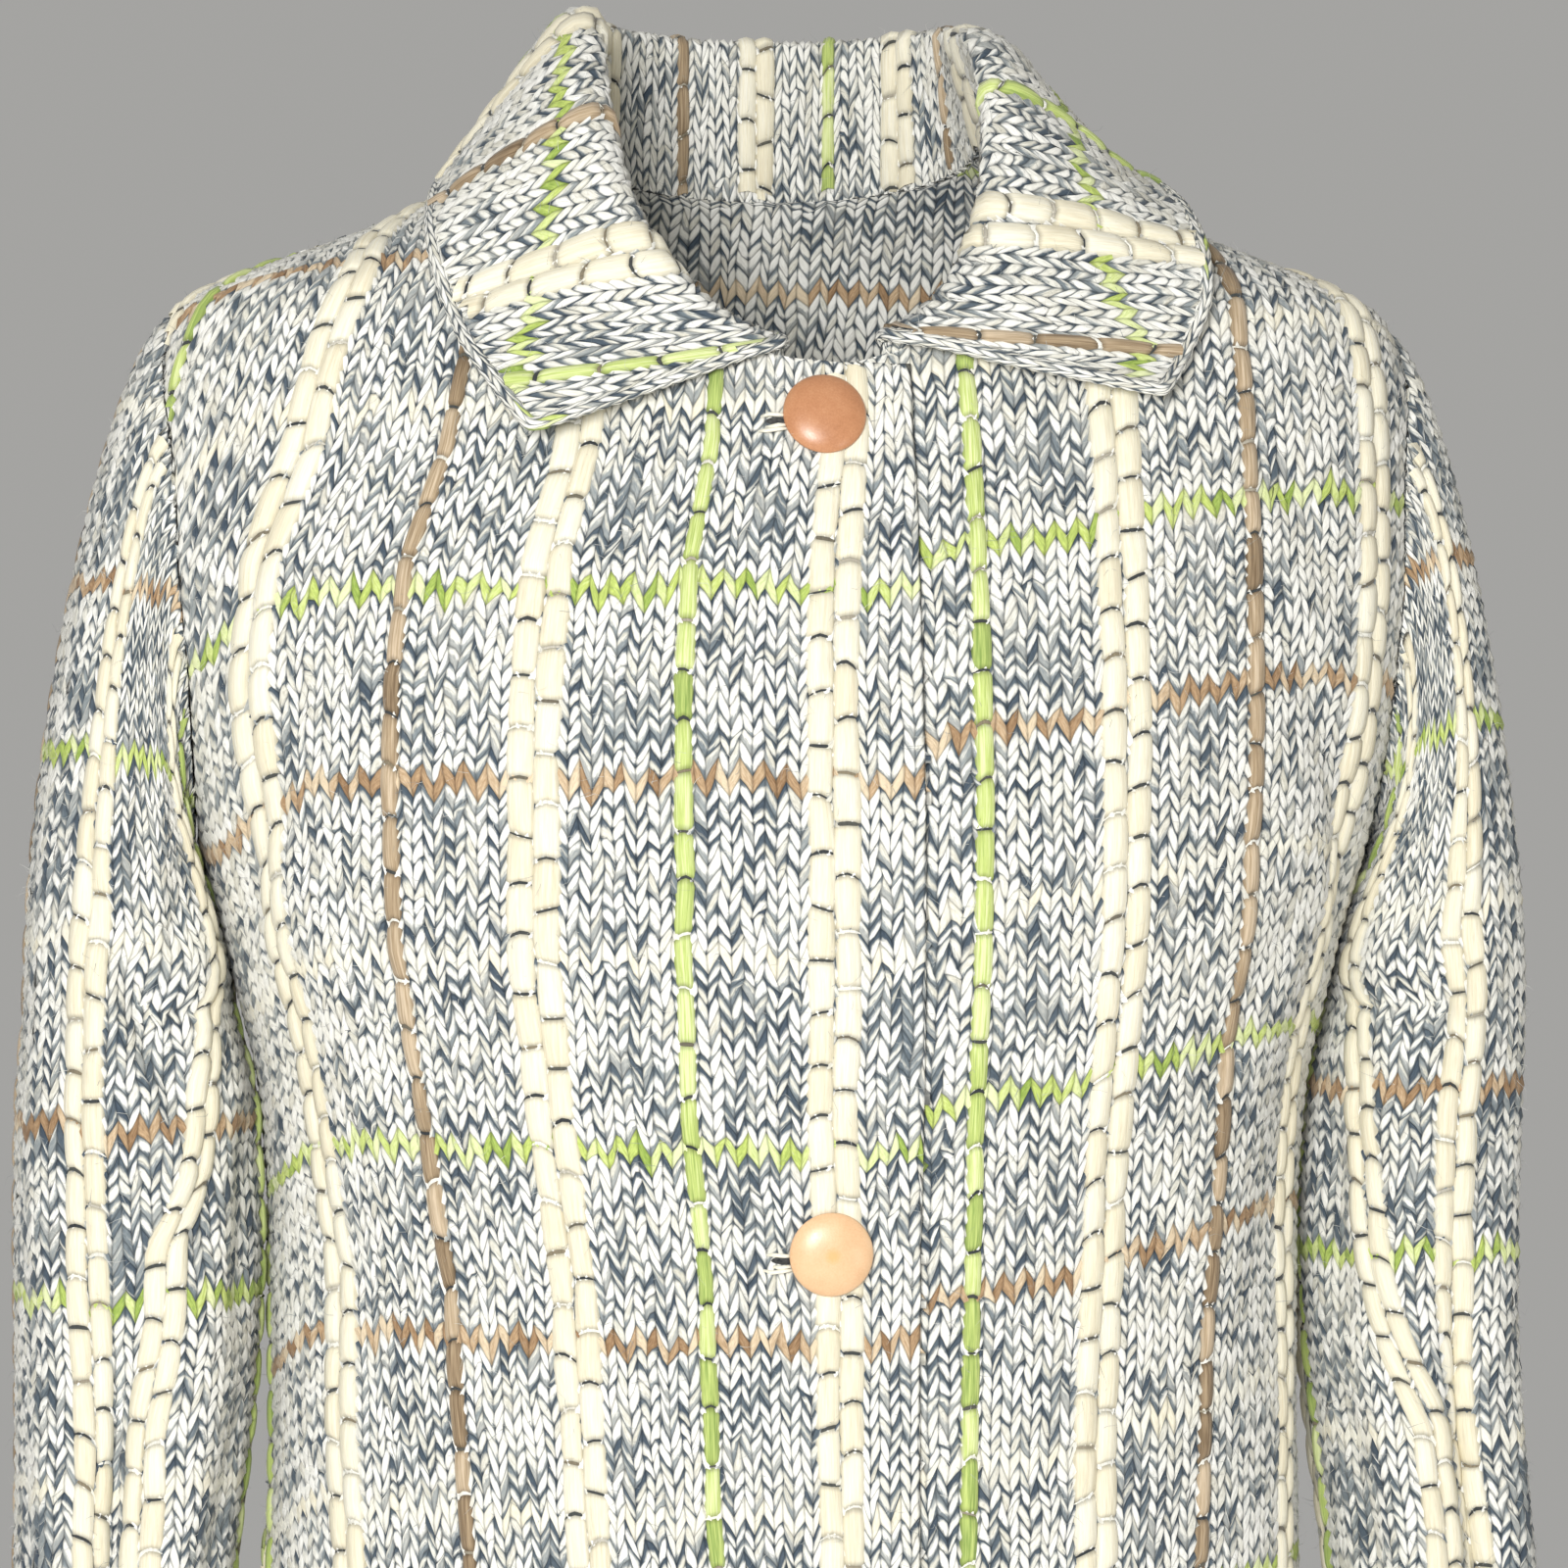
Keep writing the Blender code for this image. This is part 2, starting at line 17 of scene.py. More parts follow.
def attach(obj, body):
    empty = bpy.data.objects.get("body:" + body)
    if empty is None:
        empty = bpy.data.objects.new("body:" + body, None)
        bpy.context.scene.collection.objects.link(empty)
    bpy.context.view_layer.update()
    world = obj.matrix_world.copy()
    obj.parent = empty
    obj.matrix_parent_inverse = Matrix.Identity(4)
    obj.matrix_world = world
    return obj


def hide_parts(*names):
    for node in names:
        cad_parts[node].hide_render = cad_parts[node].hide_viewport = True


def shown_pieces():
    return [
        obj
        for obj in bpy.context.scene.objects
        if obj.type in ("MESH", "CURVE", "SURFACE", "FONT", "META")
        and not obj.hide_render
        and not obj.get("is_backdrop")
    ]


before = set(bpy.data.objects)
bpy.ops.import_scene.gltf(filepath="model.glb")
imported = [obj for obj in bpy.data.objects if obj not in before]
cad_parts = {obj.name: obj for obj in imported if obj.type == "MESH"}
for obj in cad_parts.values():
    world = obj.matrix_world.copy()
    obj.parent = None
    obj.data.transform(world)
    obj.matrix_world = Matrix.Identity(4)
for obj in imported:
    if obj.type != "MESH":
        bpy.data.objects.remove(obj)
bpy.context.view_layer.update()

# %% [markdown]
# ## The camera and the room
# The photograph is a close view of the chest. The buttons stand a little to the side of the
# collar's middle, which tells us that the coat was turned by about seven degrees. Moving the
# camera round the coat by that angle gives the same view, and the width of the picture, in metres
# at the coat's middle, sets the lens.

# %% The camera
VIEW_TURN = math.radians(-7)
VIEW_DISTANCE = 2.0
VIEW_HEIGHT = -0.231
PICTURE_WIDTH = 0.565
SENSOR_WIDTH = 36.0


def show(name, data):
    """Puts a new object that holds some data into the scene."""
    made = bpy.data.objects.new(name, data)
    bpy.context.scene.collection.objects.link(made)
    return made


eye = Vector((math.sin(VIEW_TURN), -math.cos(VIEW_TURN), 0)) * VIEW_DISTANCE
eye.z = VIEW_HEIGHT
camera = show("camera", bpy.data.cameras.new("camera"))
camera.data.sensor_width = SENSOR_WIDTH
camera.data.lens = SENSOR_WIDTH * VIEW_DISTANCE / PICTURE_WIDTH
camera.location = eye
camera.rotation_euler = (math.pi / 2, 0, VIEW_TURN)
bpy.context.scene.camera = camera
print("lens:", round(camera.data.lens, 1), "mm")

# %% [markdown]
# The photograph's light is bright and even. It comes from in front, a little from the left, so that
# the coat's middle is nearly white and its sides are greyer. The buttons shine at their lower right
# rims, which asks for a second, small lamp there. A third one behind lifts the shoulders off the
# background, and a pale world does the rest.

# %% The light
Lamp = namedtuple("Lamp", "name place aim size power")
LAMPS = (
    Lamp("key_lamp", (-0.62, -2.35, -0.02), (0, 0, -0.30), 0.70, 51),
    Lamp("glint_lamp", (1.20, -1.70, -0.85), (0, 0, -0.25), 0.30, 3),
    Lamp("back_lamp", (0.50, 2.40, -0.10), (0, 0, -0.40), 1.60, 22),
)
for lamp in LAMPS:
    light = bpy.data.lights.new(lamp.name, "AREA")
    light.shape, light.size, light.energy = "DISK", lamp.size, lamp.power
    holder = show(lamp.name, light)
    holder.location = lamp.place
    holder.rotation_euler = (Vector(lamp.aim) - Vector(lamp.place)).to_track_quat("-Z", "Y").to_euler()

world = bpy.data.worlds.new("pale_room")
bpy.context.scene.world = world
world.use_nodes = True
sky = world.node_tree.nodes["Background"].inputs
sky["Color"].default_value = (0.96, 0.95, 0.92, 1)
sky["Strength"].default_value = 0.39
bpy.context.scene.view_settings.view_transform = "Standard"
print("lamps:", [lamp.name for lamp in LAMPS])

# %% [markdown]
# A pale floor lies far below the coat, outside the picture. It only throws some light back up.

# %% The floor
FLOOR_HEIGHT = -1.42
FLOOR_REACH = 3.0


def to_data(name, mesh):
    """Ends the work on a mesh, and makes it into data that an object can hold."""
    data = bpy.data.meshes.new(name)
    mesh.to_mesh(data)
    mesh.free()
    return data


plane = bmesh.new()
bmesh.ops.create_grid(plane, x_segments=1, y_segments=1, size=FLOOR_REACH)
bmesh.ops.translate(plane, verts=plane.verts, vec=(0, 0, FLOOR_HEIGHT))
floor = show("floor", to_data("floor", plane))
floor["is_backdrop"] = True

floor_paint = bpy.data.materials.new("pale_floor")
floor_paint.use_nodes = True
floor_look = floor_paint.node_tree.nodes["Principled BSDF"].inputs
floor_look["Base Color"].default_value = (0.8, 0.79, 0.77, 1)
floor_look["Roughness"].default_value = 0.8
floor.data.materials.append(floor_paint)
print("floor at", FLOOR_HEIGHT, "m")

# %% [markdown]
# ## The coat's form
# Everything that follows lies on the coat's surface, so we first need that surface as numbers. The
# body is a stack of rounded sections, each with a half width, a depth in front and a depth behind.
# A few folds stand out from it or sink in. These are the same sizes as the plain model's.

# %% The driving sizes
WALL = 0.003
SEAM = 0.0003
SLEEVE_SEAM = 0.0007
HEM = -0.880
UNDERARM = -0.250
SHOULDER = -0.065
NECK_HALF = 0.075
NECK_FRONT = -0.088
NECK_BACK = -0.014
NECK_CENTRE = -0.012
LAP = 0.031
LAP_SPACE = 0.0010
LAP_FADE = (0.036, 0.085)
ARMHOLE_REACH = {"front": 0.047, "back": 0.056}
ROUNDNESS = 2.35

Section = namedtuple("Section", "height half_width front back")
BODY = (
    Section(HEM, 0.230, 0.152, 0.150),
    Section(-0.750, 0.219, 0.142, 0.141),
    Section(-0.600, 0.199, 0.130, 0.127),
    Section(-0.513, 0.186, 0.123, 0.110),
    Section(-0.450, 0.184, 0.121, 0.100),
    Section(-0.390, 0.1845, 0.124, 0.098),
    Section(-0.340, 0.188, 0.131, 0.102),
    Section(-0.300, 0.197, 0.136, 0.108),
    Section(UNDERARM, 0.210, 0.137, 0.114),
    Section(-0.200, 0.221, 0.131, 0.117),
    Section(-0.150, 0.228, 0.120, 0.115),
    Section(-0.100, 0.228, 0.105, 0.107),
    Section(SHOULDER, 0.219, 0.093, 0.096),
    Section(-0.033, 0.148, 0.080, 0.078),
    Section(0.000, NECK_HALF, 0.064, 0.056),
)

Fold = namedtuple("Fold", "around lean low high width depth")
BODY_FOLDS = {
    "front": (
        Fold(0.120, -0.10, -1.05, -0.52, 0.030, 0.0085),
        Fold(0.235, -0.16, -1.05, -0.50, 0.028, 0.0075),
        Fold(0.178, -0.12, -1.05, -0.56, 0.024, -0.0060),
        Fold(0.060, -0.05, -0.62, -0.28, 0.026, 0.0030),
        Fold(0.195, 0.30, -0.47, -0.24, 0.024, -0.0050),
        Fold(0.205, -0.55, -0.30, -0.17, 0.016, -0.0045),
    ),
    "back": (
        Fold(0.105, -0.08, -1.05, -0.50, 0.030, 0.0080),
        Fold(0.225, -0.15, -1.05, -0.52, 0.028, 0.0070),
        Fold(0.165, -0.10, -1.05, -0.54, 0.024, -0.0055),
        Fold(0.120, 0.25, -0.52, -0.30, 0.026, -0.0045),
        Fold(0.190, -0.45, -0.30, -0.15, 0.018, -0.0045),
    ),
}

# %% [markdown]
# The smaller creases are only in the cloth. They are soft and uneven: slack over the waist, drag
# lines that run to the armholes, and a slight pull at each button. Each is listed with its
# distance from the centre line, its lean, the heights that it spans, its width and its depth.

# %% The small creases
CREASES = {
    "front_right": (
        Fold(0.150, 0.50, -0.40, -0.27, 0.012, -0.0022),
        Fold(0.172, 0.80, -0.33, -0.22, 0.010, -0.0020),
        Fold(0.085, -0.35, -0.47, -0.33, 0.016, 0.0016),
        Fold(0.135, 0.25, -0.60, -0.42, 0.015, -0.0020),
        Fold(0.190, -0.70, -0.19, -0.09, 0.011, -0.0020),
        Fold(0.100, -1.10, -0.12, -0.05, 0.013, -0.0014),
        Fold(0.030, 1.60, -0.125, -0.095, 0.008, -0.0012),
        Fold(0.035, -1.50, -0.410, -0.370, 0.009, -0.0014),
    ),
    "front_left": (
        Fold(0.060, -0.20, -0.30, -0.12, 0.014, 0.0016),
        Fold(0.165, 0.65, -0.36, -0.24, 0.012, -0.0025),
        Fold(0.120, -0.40, -0.45, -0.33, 0.015, -0.0018),
        Fold(0.092, 0.30, -0.62, -0.44, 0.018, 0.0020),
        Fold(0.185, -0.55, -0.20, -0.10, 0.012, -0.0022),
        Fold(0.205, 0.30, -0.62, -0.48, 0.014, -0.0022),
    ),
    "back": (
        Fold(0.045, 0.30, -0.45, -0.31, 0.018, -0.0022),
        Fold(0.140, 0.55, -0.40, -0.28, 0.014, -0.0020),
        Fold(0.175, -0.80, -0.22, -0.12, 0.012, -0.0022),
        Fold(0.080, -1.20, -0.10, -0.04, 0.016, -0.0014),
        Fold(0.060, -0.20, -0.66, -0.48, 0.020, 0.0020),
    ),
}

# %% [markdown]
# Three helpers do the sums. One reads a table's column along a soft curve, one makes a soft step
# between two values, and one adds up how far all the folds move the cloth at a place.

# %% Curves, steps and folds
def smooth(table, field, at):
    """Reads one column of a table along a soft curve that never passes its values."""
    x = np.array([row[0] for row in table], float)
    y = np.array([getattr(row, field) for row in table], float)
    step = np.diff(x)
    slope = np.diff(y) / step
    tangent = np.zeros_like(y)
    same = slope[1:] * slope[:-1] > 0
    harmonic = 2 * slope[1:] * slope[:-1] / np.where(same, slope[1:] + slope[:-1], 1)
    tangent[1:-1] = np.where(same, harmonic, 0)
    tangent[0], tangent[-1] = slope[0], slope[-1]
    at = np.clip(at, x[0], x[-1])
    i = np.clip(np.searchsorted(x, at) - 1, 0, len(step) - 1)
    t = (at - x[i]) / step[i]
    start = y[i] * (1 + 2 * t) + tangent[i] * step[i] * t
    end = y[i + 1] * (3 - 2 * t) - tangent[i + 1] * step[i] * (1 - t)
    return start * (1 - t) ** 2 + end * t**2


def ease(value, start, end):
    """0 before start, 1 after end and a soft step between."""
    t = np.clip((value - start) / (end - start), 0, 1)
    return t * t * (3 - 2 * t)


def fold_height(folds, around, height, turn=None):
    """How far the folds move the cloth out at a place; turn is the length of a full turn."""
    total = 0.0
    for fold in folds:
        middle = (fold.low + fold.high) / 2
        away = around - fold.around - fold.lean * (height - middle)
        if turn:
            away = (away + turn / 2) % turn - turn / 2
        fade = (fold.high - fold.low) / 3
        lasting = ease(height, fold.low, fold.low + fade) * ease(-height, -fold.high, fade - fold.high)
        total = total + fold.depth * np.exp(-((away / fold.width) ** 2)) * lasting
    return total


# %% [markdown]
# A **chart** is a net of points on a surface, with the direction that points out at each. Its
# columns are evenly spaced lengths of cloth measured sideways, and its rows go up. Between the
# net's points we read it by mixing the four nearest, which is quick even for a hundred thousand
# places at once.

# %% Charts
STEP = 0.0025
Chart = namedtuple("Chart", "points normals first step")


def sample(net, row, column):
    """Reads a net between its points."""
    row = np.clip(row, 0, net.shape[0] - 1.001)
    column = np.clip(column, 0, net.shape[1] - 1.001)
    i, j = row.astype(int), column.astype(int)
    a, b = (row - i)[:, None], (column - j)[:, None]
    low = net[i, j] * (1 - b) + net[i, j + 1] * b
    high = net[i + 1, j] * (1 - b) + net[i + 1, j + 1] * b
    return low * (1 - a) + high * a


def outward(points, flip):
    """The direction out of a net of points, at each of them."""
    across = np.gradient(points, axis=1)
    along = np.gradient(points, axis=0)
    normal = np.cross(across, along) * flip
    size = np.linalg.norm(normal, axis=2, keepdims=True)
    normal = normal / np.maximum(size, 1e-12)
    weak = size[:, :, 0] < 1e-9
    for column in range(1, points.shape[1]):
        normal[weak[:, column], column] = normal[weak[:, column], column - 1]
    return normal


def outward_both_ways(points, right, flip):
    """The same, with each half of the net worked out from its middle column towards its end."""
    normal = np.zeros_like(points)
    normal[:, right] = outward(points[:, right], flip)
    normal[:, ~right] = outward(points[:, ~right][:, ::-1], -flip)[:, ::-1]
    return normal


def lengths_along(points, axis=0):
    """The length of a path of points from its start to each of them."""
    steps = np.linalg.norm(np.diff(points, axis=axis), axis=-1)
    start = np.zeros_like(steps.take([0], axis=axis))
    return np.concatenate([start, np.cumsum(steps, axis=axis)], axis=axis)


def lengths_up(points):
    """The length of cloth up each column of a net. It grows at least by a hair from row to row."""
    return lengths_along(points) + np.arange(len(points))[:, None] * 1e-9


def read_path(at, lengths, points):
    """The places at some lengths along a path of points."""
    return np.stack([np.interp(at, lengths, column) for column in points.T], axis=1)


# %% [markdown]
# The body has two charts, one in front and one behind. Each quarter of a section runs from the
# centre line to the side, as a rounded box does, and we read it at even lengths of cloth. The folds
# then move the points out or in.

# %% The body's charts
HEIGHTS = np.arange(HEM, 0.5 * STEP, STEP)
AROUNDS = np.arange(-0.42, 0.42, STEP)
QUARTER_TURN = np.linspace(0, math.pi / 2, 91)


def ring(height, side):
    """A quarter of the body's section from the centre line to the side: cloth length, x and y."""
    x = smooth(BODY, "half_width", height) * np.sin(QUARTER_TURN) ** (2 / ROUNDNESS)
    y = smooth(BODY, side, height) * np.cos(QUARTER_TURN) ** (2 / ROUNDNESS)
    return np.concatenate([[0], np.cumsum(np.hypot(np.diff(x), np.diff(y)))]), x, y


def plain_body(side):
    """The body without its folds: points, and the directions out."""
    facing = -1 if side == "front" else 1
    points = np.zeros((len(HEIGHTS), len(AROUNDS), 3))
    for k, height in enumerate(HEIGHTS):
        length, x, y = ring(height, side)
        points[k, :, 0] = np.interp(np.abs(AROUNDS), length, x) * np.where(AROUNDS < 0, -1, 1)
        points[k, :, 1] = np.interp(np.abs(AROUNDS), length, y) * facing
        points[k, :, 2] = height
    return points, outward_both_ways(points, AROUNDS >= 0, -facing)


PLAIN = {side: plain_body(side) for side in ("front", "back")}
print("cloth from centre to side at the hem:", round(float(ring(HEM, "front")[0][-1]), 3), "m")


def on_plain_body(side, around, height):
    """One place on the body without its folds, and the direction out there."""
    row, column = np.array([(height - HEM) / STEP]), np.array([(around - AROUNDS[0]) / STEP])
    return [sample(net, row, column)[0] for net in PLAIN[side]]


def body_chart(side, creases):
    """The front or the back with its large folds and one panel's small creases."""
    points, normal = PLAIN[side]
    around, height = np.abs(AROUNDS)[None, :], HEIGHTS[:, None]
    out = fold_height(BODY_FOLDS[side], around, height) + fold_height(creases, around, height)
    return Chart(points + out[:, :, None] * normal, normal, AROUNDS[0], STEP)


# %% [markdown]
# ## Where a panel ends
# A knitted panel is cut off by its seams. Its outline is a loop of places on the chart, each with
# how far it lies from the centre line and how high it is: up the front edge, round the neckline,
# down the shoulder seam and the armhole, and down the side seam to the hem. The heights are then
# changed to lengths of cloth, so that distances across the outline are true ones.

# %% The seams of the body
TOUCH = 0.0006  # soft cloth closes the small gap that the plain model has at a seam


def lap_lift(around):
    """How far the right front lies outside the left one; around grows away from the centre."""
    return (WALL + LAP_SPACE) * (1 - ease(around, *LAP_FADE))


def armhole_place(turn, side):
    """turn is 0 at the underarm and 1 at the shoulder; gives the height and how far out in y."""
    angle = math.pi * (1 - turn)
    height = (SHOULDER + UNDERARM) / 2 + (SHOULDER - UNDERARM) / 2 * math.cos(angle)
    return height, ARMHOLE_REACH[side] * math.sin(angle) * (1 - 0.15 * math.cos(angle))


def length_at(side, height, x=None, y=None):
    """The cloth from the centre line to where a section has this x or y."""
    length, xs, ys = ring(height, side)
    return float(np.interp(x, xs, length) if y is None else np.interp(-y, -ys, length))


def half_outline(side, inner_edge):
    """From the hem at the inner edge round to the hem at the side seam."""
    low = NECK_FRONT if side == "front" else NECK_BACK
    line = [(inner_edge, h) for h in np.linspace(HEM, low, 60)] if inner_edge < 0 else []
    line += [(inner_edge * k / 6, low) for k in range(5, 0, -1)]
    for angle in np.linspace(0, math.pi / 2, 20):
        height = low * math.cos(angle)
        line.append((length_at(side, height, x=NECK_HALF * math.sin(angle)), height))
    line = [(x, h + (TOUCH if h > HEM and x >= 0 else 0)) for x, h in line]
    line += [(ring(h, side)[0][-1], h) for h in np.linspace(0, SHOULDER, 30)[1:]]
    for turn in np.linspace(1, 0, 48)[1:]:
        height, y = armhole_place(turn, side)
        line.append((length_at(side, height, y=y) + TOUCH, height))
    line += [(ring(h, side)[0][-1], h) for h in np.linspace(UNDERARM, HEM, 60)[1:]]
    return line


def closed_by_hem(line):
    """Joins the end of an outline to its start along the hem."""
    start, end = line[0][0], line[-1][0]
    return np.array(line + [(x, HEM) for x in np.linspace(end, start, 40)[1:-1]])


def body_outline(side, lap):
    """A front reaches past the centre line by its lap, and the back is one piece."""
    if side == "front":
        return closed_by_hem(half_outline(side, -lap))
    half = half_outline(side, 0.0)
    return closed_by_hem([(-x, h) for x, h in half[::-1]] + half[1:])


def inside(places, outline):
    """Tells for each place whether it lies inside the loop, by counting the edges to its right."""
    count = np.zeros(len(places), int)
    for (x0, y0), (x1, y1) in zip(outline, np.roll(outline, -1, axis=0)):
        if y0 == y1:
            continue
        crossing = (places[:, 1] >= min(y0, y1)) & (places[:, 1] < max(y0, y1))
        at = x0 + (places[:, 1] - y0) * (x1 - x0) / (y1 - y0)
        count += crossing & (at > places[:, 0])
    return count % 2 == 1


def nearest(places, outline):
    """The nearest place on the loop to each place, and how far away it is."""
    best = np.full(len(places), np.inf)
    found = places.copy()
    for start, end in zip(outline, np.roll(outline, -1, axis=0)):
        along = end - start
        share = np.clip((places - start) @ along / max(along @ along, 1e-12), 0, 1)
        spot = start + share[:, None] * along
        away = np.hypot(*(places - spot).T)
        closer = away < best
        best[closer], found[closer] = away[closer], spot[closer]
    return found, best


# %% [markdown]
# ## Sleeves as charts
# A sleeve is a tube. Below the cap its sections are rounded, and over the cap they run from the
# armhole's edge to the top of the tube. We measure the cloth both ways round from the line on the
# outer side of the arm, so that the knit's columns run straight down the sleeve and meet at the
# seam underneath, as they do on a real one.

# %% The sleeves' sizes
Cuff = namedtuple("Cuff", "height centre_x centre_y half_width half_depth")
ARM_RIGHT = (
    Cuff(-0.645, 0.2420, -0.040, 0.0365, 0.0490),
    Cuff(-0.580, 0.2395, -0.027, 0.0370, 0.0520),
    Cuff(-0.513, 0.2365, -0.016, 0.0380, 0.0550),
    Cuff(-0.440, 0.2320, -0.009, 0.0420, 0.0575),
    Cuff(-0.390, 0.2310, -0.005, 0.0435, 0.0595),
    Cuff(-0.350, 0.2315, -0.002, 0.0425, 0.0610),
    Cuff(-0.310, 0.2345, 0.000, 0.0365, 0.0620),
)
ARM_LEFT = (
    Cuff(-0.645, 0.2410, -0.038, 0.0365, 0.0490),
    Cuff(-0.580, 0.2375, -0.025, 0.0370, 0.0520),
    Cuff(-0.513, 0.2335, -0.015, 0.0365, 0.0550),
    Cuff(-0.440, 0.2275, -0.009, 0.0375, 0.0575),
    Cuff(-0.390, 0.2260, -0.005, 0.0385, 0.0595),
    Cuff(-0.350, 0.2280, -0.002, 0.0375, 0.0610),
    Cuff(-0.310, 0.2330, 0.000, 0.0340, 0.0620),
)
ARM_TOP = ARM_RIGHT[-1].height
ARM_ROUNDNESS = 2.15
CAP_ROWS = 60
TURNS = np.linspace(-0.5, 0.5, 145)
SLEEVE_FOLDS = (
    Fold(0.215, 0.10, -0.72, -0.33, 0.034, -0.0085),
    Fold(0.320, 0.35, -0.60, -0.40, 0.040, 0.0035),
    Fold(0.330, 0.90, -0.37, -0.25, 0.034, -0.0050),
    Fold(0.120, -0.20, -0.60, -0.22, 0.038, 0.0030),
    Fold(0.740, -0.12, -0.70, -0.30, 0.036, -0.0070),
    Fold(0.640, -0.60, -0.40, -0.24, 0.036, -0.0045),
    Fold(0.860, 0.25, -0.58, -0.30, 0.040, 0.0030),
)
SLEEVE_CREASES = (
    Fold(0.218, 0.05, -0.60, -0.40, 0.016, -0.0045),
    Fold(0.255, -1.45, -0.36, -0.25, 0.026, -0.0050),
    Fold(0.420, 0.30, -0.44, -0.33, 0.036, -0.0050),
    Fold(0.300, 1.40, -0.36, -0.24, 0.022, -0.0030),
    Fold(0.360, 1.10, -0.42, -0.30, 0.024, -0.0028),
    Fold(0.400, 0.50, -0.54, -0.42, 0.026, -0.0024),
    Fold(0.140, -0.90, -0.50, -0.40, 0.024, -0.0018),
    Fold(0.060, 0.70, -0.30, -0.20, 0.026, -0.0014),
    Fold(0.900, -0.60, -0.44, -0.32, 0.026, -0.0022),
    Fold(0.700, 0.80, -0.56, -0.44, 0.024, -0.0026),
)

# %% [markdown]
# Below the cap a section is a rounded box round the arm's middle. Over the cap, each column of the
# net leaves the armhole sideways and bends down into the tube, on a curve that is set by where it
# starts, where it ends and how fast it leaves and arrives.

# %% The sleeves' charts
def arm_section(arm, turns, height):
    """A section of the straight sleeve; turns are counted from the outer side to the front."""
    angle = 2 * np.pi * turns
    power = 2 / ARM_ROUNDNESS
    cosine, sine = np.cos(angle), np.sin(angle)
    out = fold_height(SLEEVE_FOLDS, turns, height, 1.0) + fold_height(SLEEVE_CREASES, turns, height, 1.0)
    half_width = smooth(arm, "half_width", height)
    half_depth = smooth(arm, "half_depth", height)
    normal = np.stack([cosine / half_width, -sine / half_depth], axis=1)
    normal /= np.linalg.norm(normal, axis=1, keepdims=True)
    x = smooth(arm, "centre_x", height) + half_width * np.sign(cosine) * np.abs(cosine) ** power
    y = smooth(arm, "centre_y", height) - half_depth * np.sign(sine) * np.abs(sine) ** power
    return np.stack([x + out * normal[:, 0], y + out * normal[:, 1], np.full_like(x, height)], axis=1)


def armhole_start(turn):
    """Where the sleeve leaves the body."""
    side = "front" if turn % 1.0 <= 0.5 else "back"
    height, y = armhole_place(abs(1 - 2 * (turn % 1.0)), side)
    around = length_at(side, height, y=y)
    start, normal = on_plain_body(side, around, height)
    return start + float(fold_height(BODY_FOLDS[side], around, height)) * normal + [SLEEVE_SEAM, 0, 0]


def sleeve_net(arm):
    """Rows of points from the cuff up to the armhole."""
    rows = [arm_section(arm, TURNS, h) for h in np.arange(arm[0].height, ARM_TOP, 2 * STEP)]
    start = np.array([armhole_start(turn) for turn in TURNS])
    end = arm_section(arm, TURNS, ARM_TOP)
    up = np.abs(1 - 2 * (TURNS % 1.0))[:, None]
    leave = np.concatenate([0.024 + 0.036 * up**1.5, 0 * up, -0.012 - 0.010 * up], axis=1)
    arrive = np.concatenate([0 * up, 0 * up, -0.10 - 0.20 * up], axis=1)
    facing = np.where(TURNS % 1.0 <= 0.5, -1.0, 1.0)
    for t in np.linspace(1, 0, CAP_ROWS):
        row = start * (1 + 2 * t) * (1 - t) ** 2 + end * t * t * (3 - 2 * t)
        row = row + leave * t * (1 - t) ** 2 - arrive * t * t * (1 - t)
        folds = fold_height(SLEEVE_FOLDS, TURNS, row[:, 2], 1.0) * ease(t, 0, 0.5) * (1 - ease(t, 0.6, 1))
        folds = folds + fold_height(SLEEVE_CREASES, TURNS, row[:, 2], 1.0) * ease(t, 0, 0.35)
        row[:, 1] += folds * facing
        rows.append(row)
    return np.array(rows)


def sleeve_chart(arm):
    """The sleeve's chart, with its columns either way from the outer line, and both its edges."""
    net = sleeve_net(arm)
    lengths = lengths_along(net, axis=1)
    lengths -= lengths[:, len(TURNS) // 2, None]
    across = np.arange(-0.25, 0.2501, STEP)
    points = np.array([read_path(across, *row) for row in zip(lengths, net)])
    chart = Chart(points, outward_both_ways(points, across >= 0, -1), across[0], STEP)
    return chart, lengths[:, 0], lengths[:, -1]


# %% [markdown]
# ## The collar as a chart
# Half of the collar is a table of places round the neck, from its point to the centre back. At
# each place its section goes from the neck seam up the stand, over the fold and down to the outer
# edge. The section's corners are rounded by cutting them, twice. The two halves differ, because
# the wearer's right point hangs lower in the photograph.

# %% The collar's sizes
Leaf = namedtuple("Leaf", "share neck_angle stand lean edge_x edge_y edge_z")
COLLAR_RIGHT = (
    Leaf(0.00, 10, 0.0085, 0.000, 0.1010, -0.124, -0.110),
    Leaf(0.12, 27, 0.0115, 0.003, 0.1130, -0.112, -0.093),
    Leaf(0.26, 46, 0.0200, 0.007, 0.1230, -0.095, -0.075),
    Leaf(0.40, 66, 0.0335, 0.002, 0.1270, -0.062, -0.054),
    Leaf(0.54, 88, 0.0455, -0.003, 0.1215, -0.018, -0.027),
    Leaf(0.70, 115, 0.0540, -0.003, 0.1030, 0.050, -0.033),
    Leaf(0.85, 146, 0.0580, -0.001, 0.0640, 0.086, -0.048),
    Leaf(1.00, 180, 0.0590, 0.000, 0.0000, 0.102, -0.052),
)
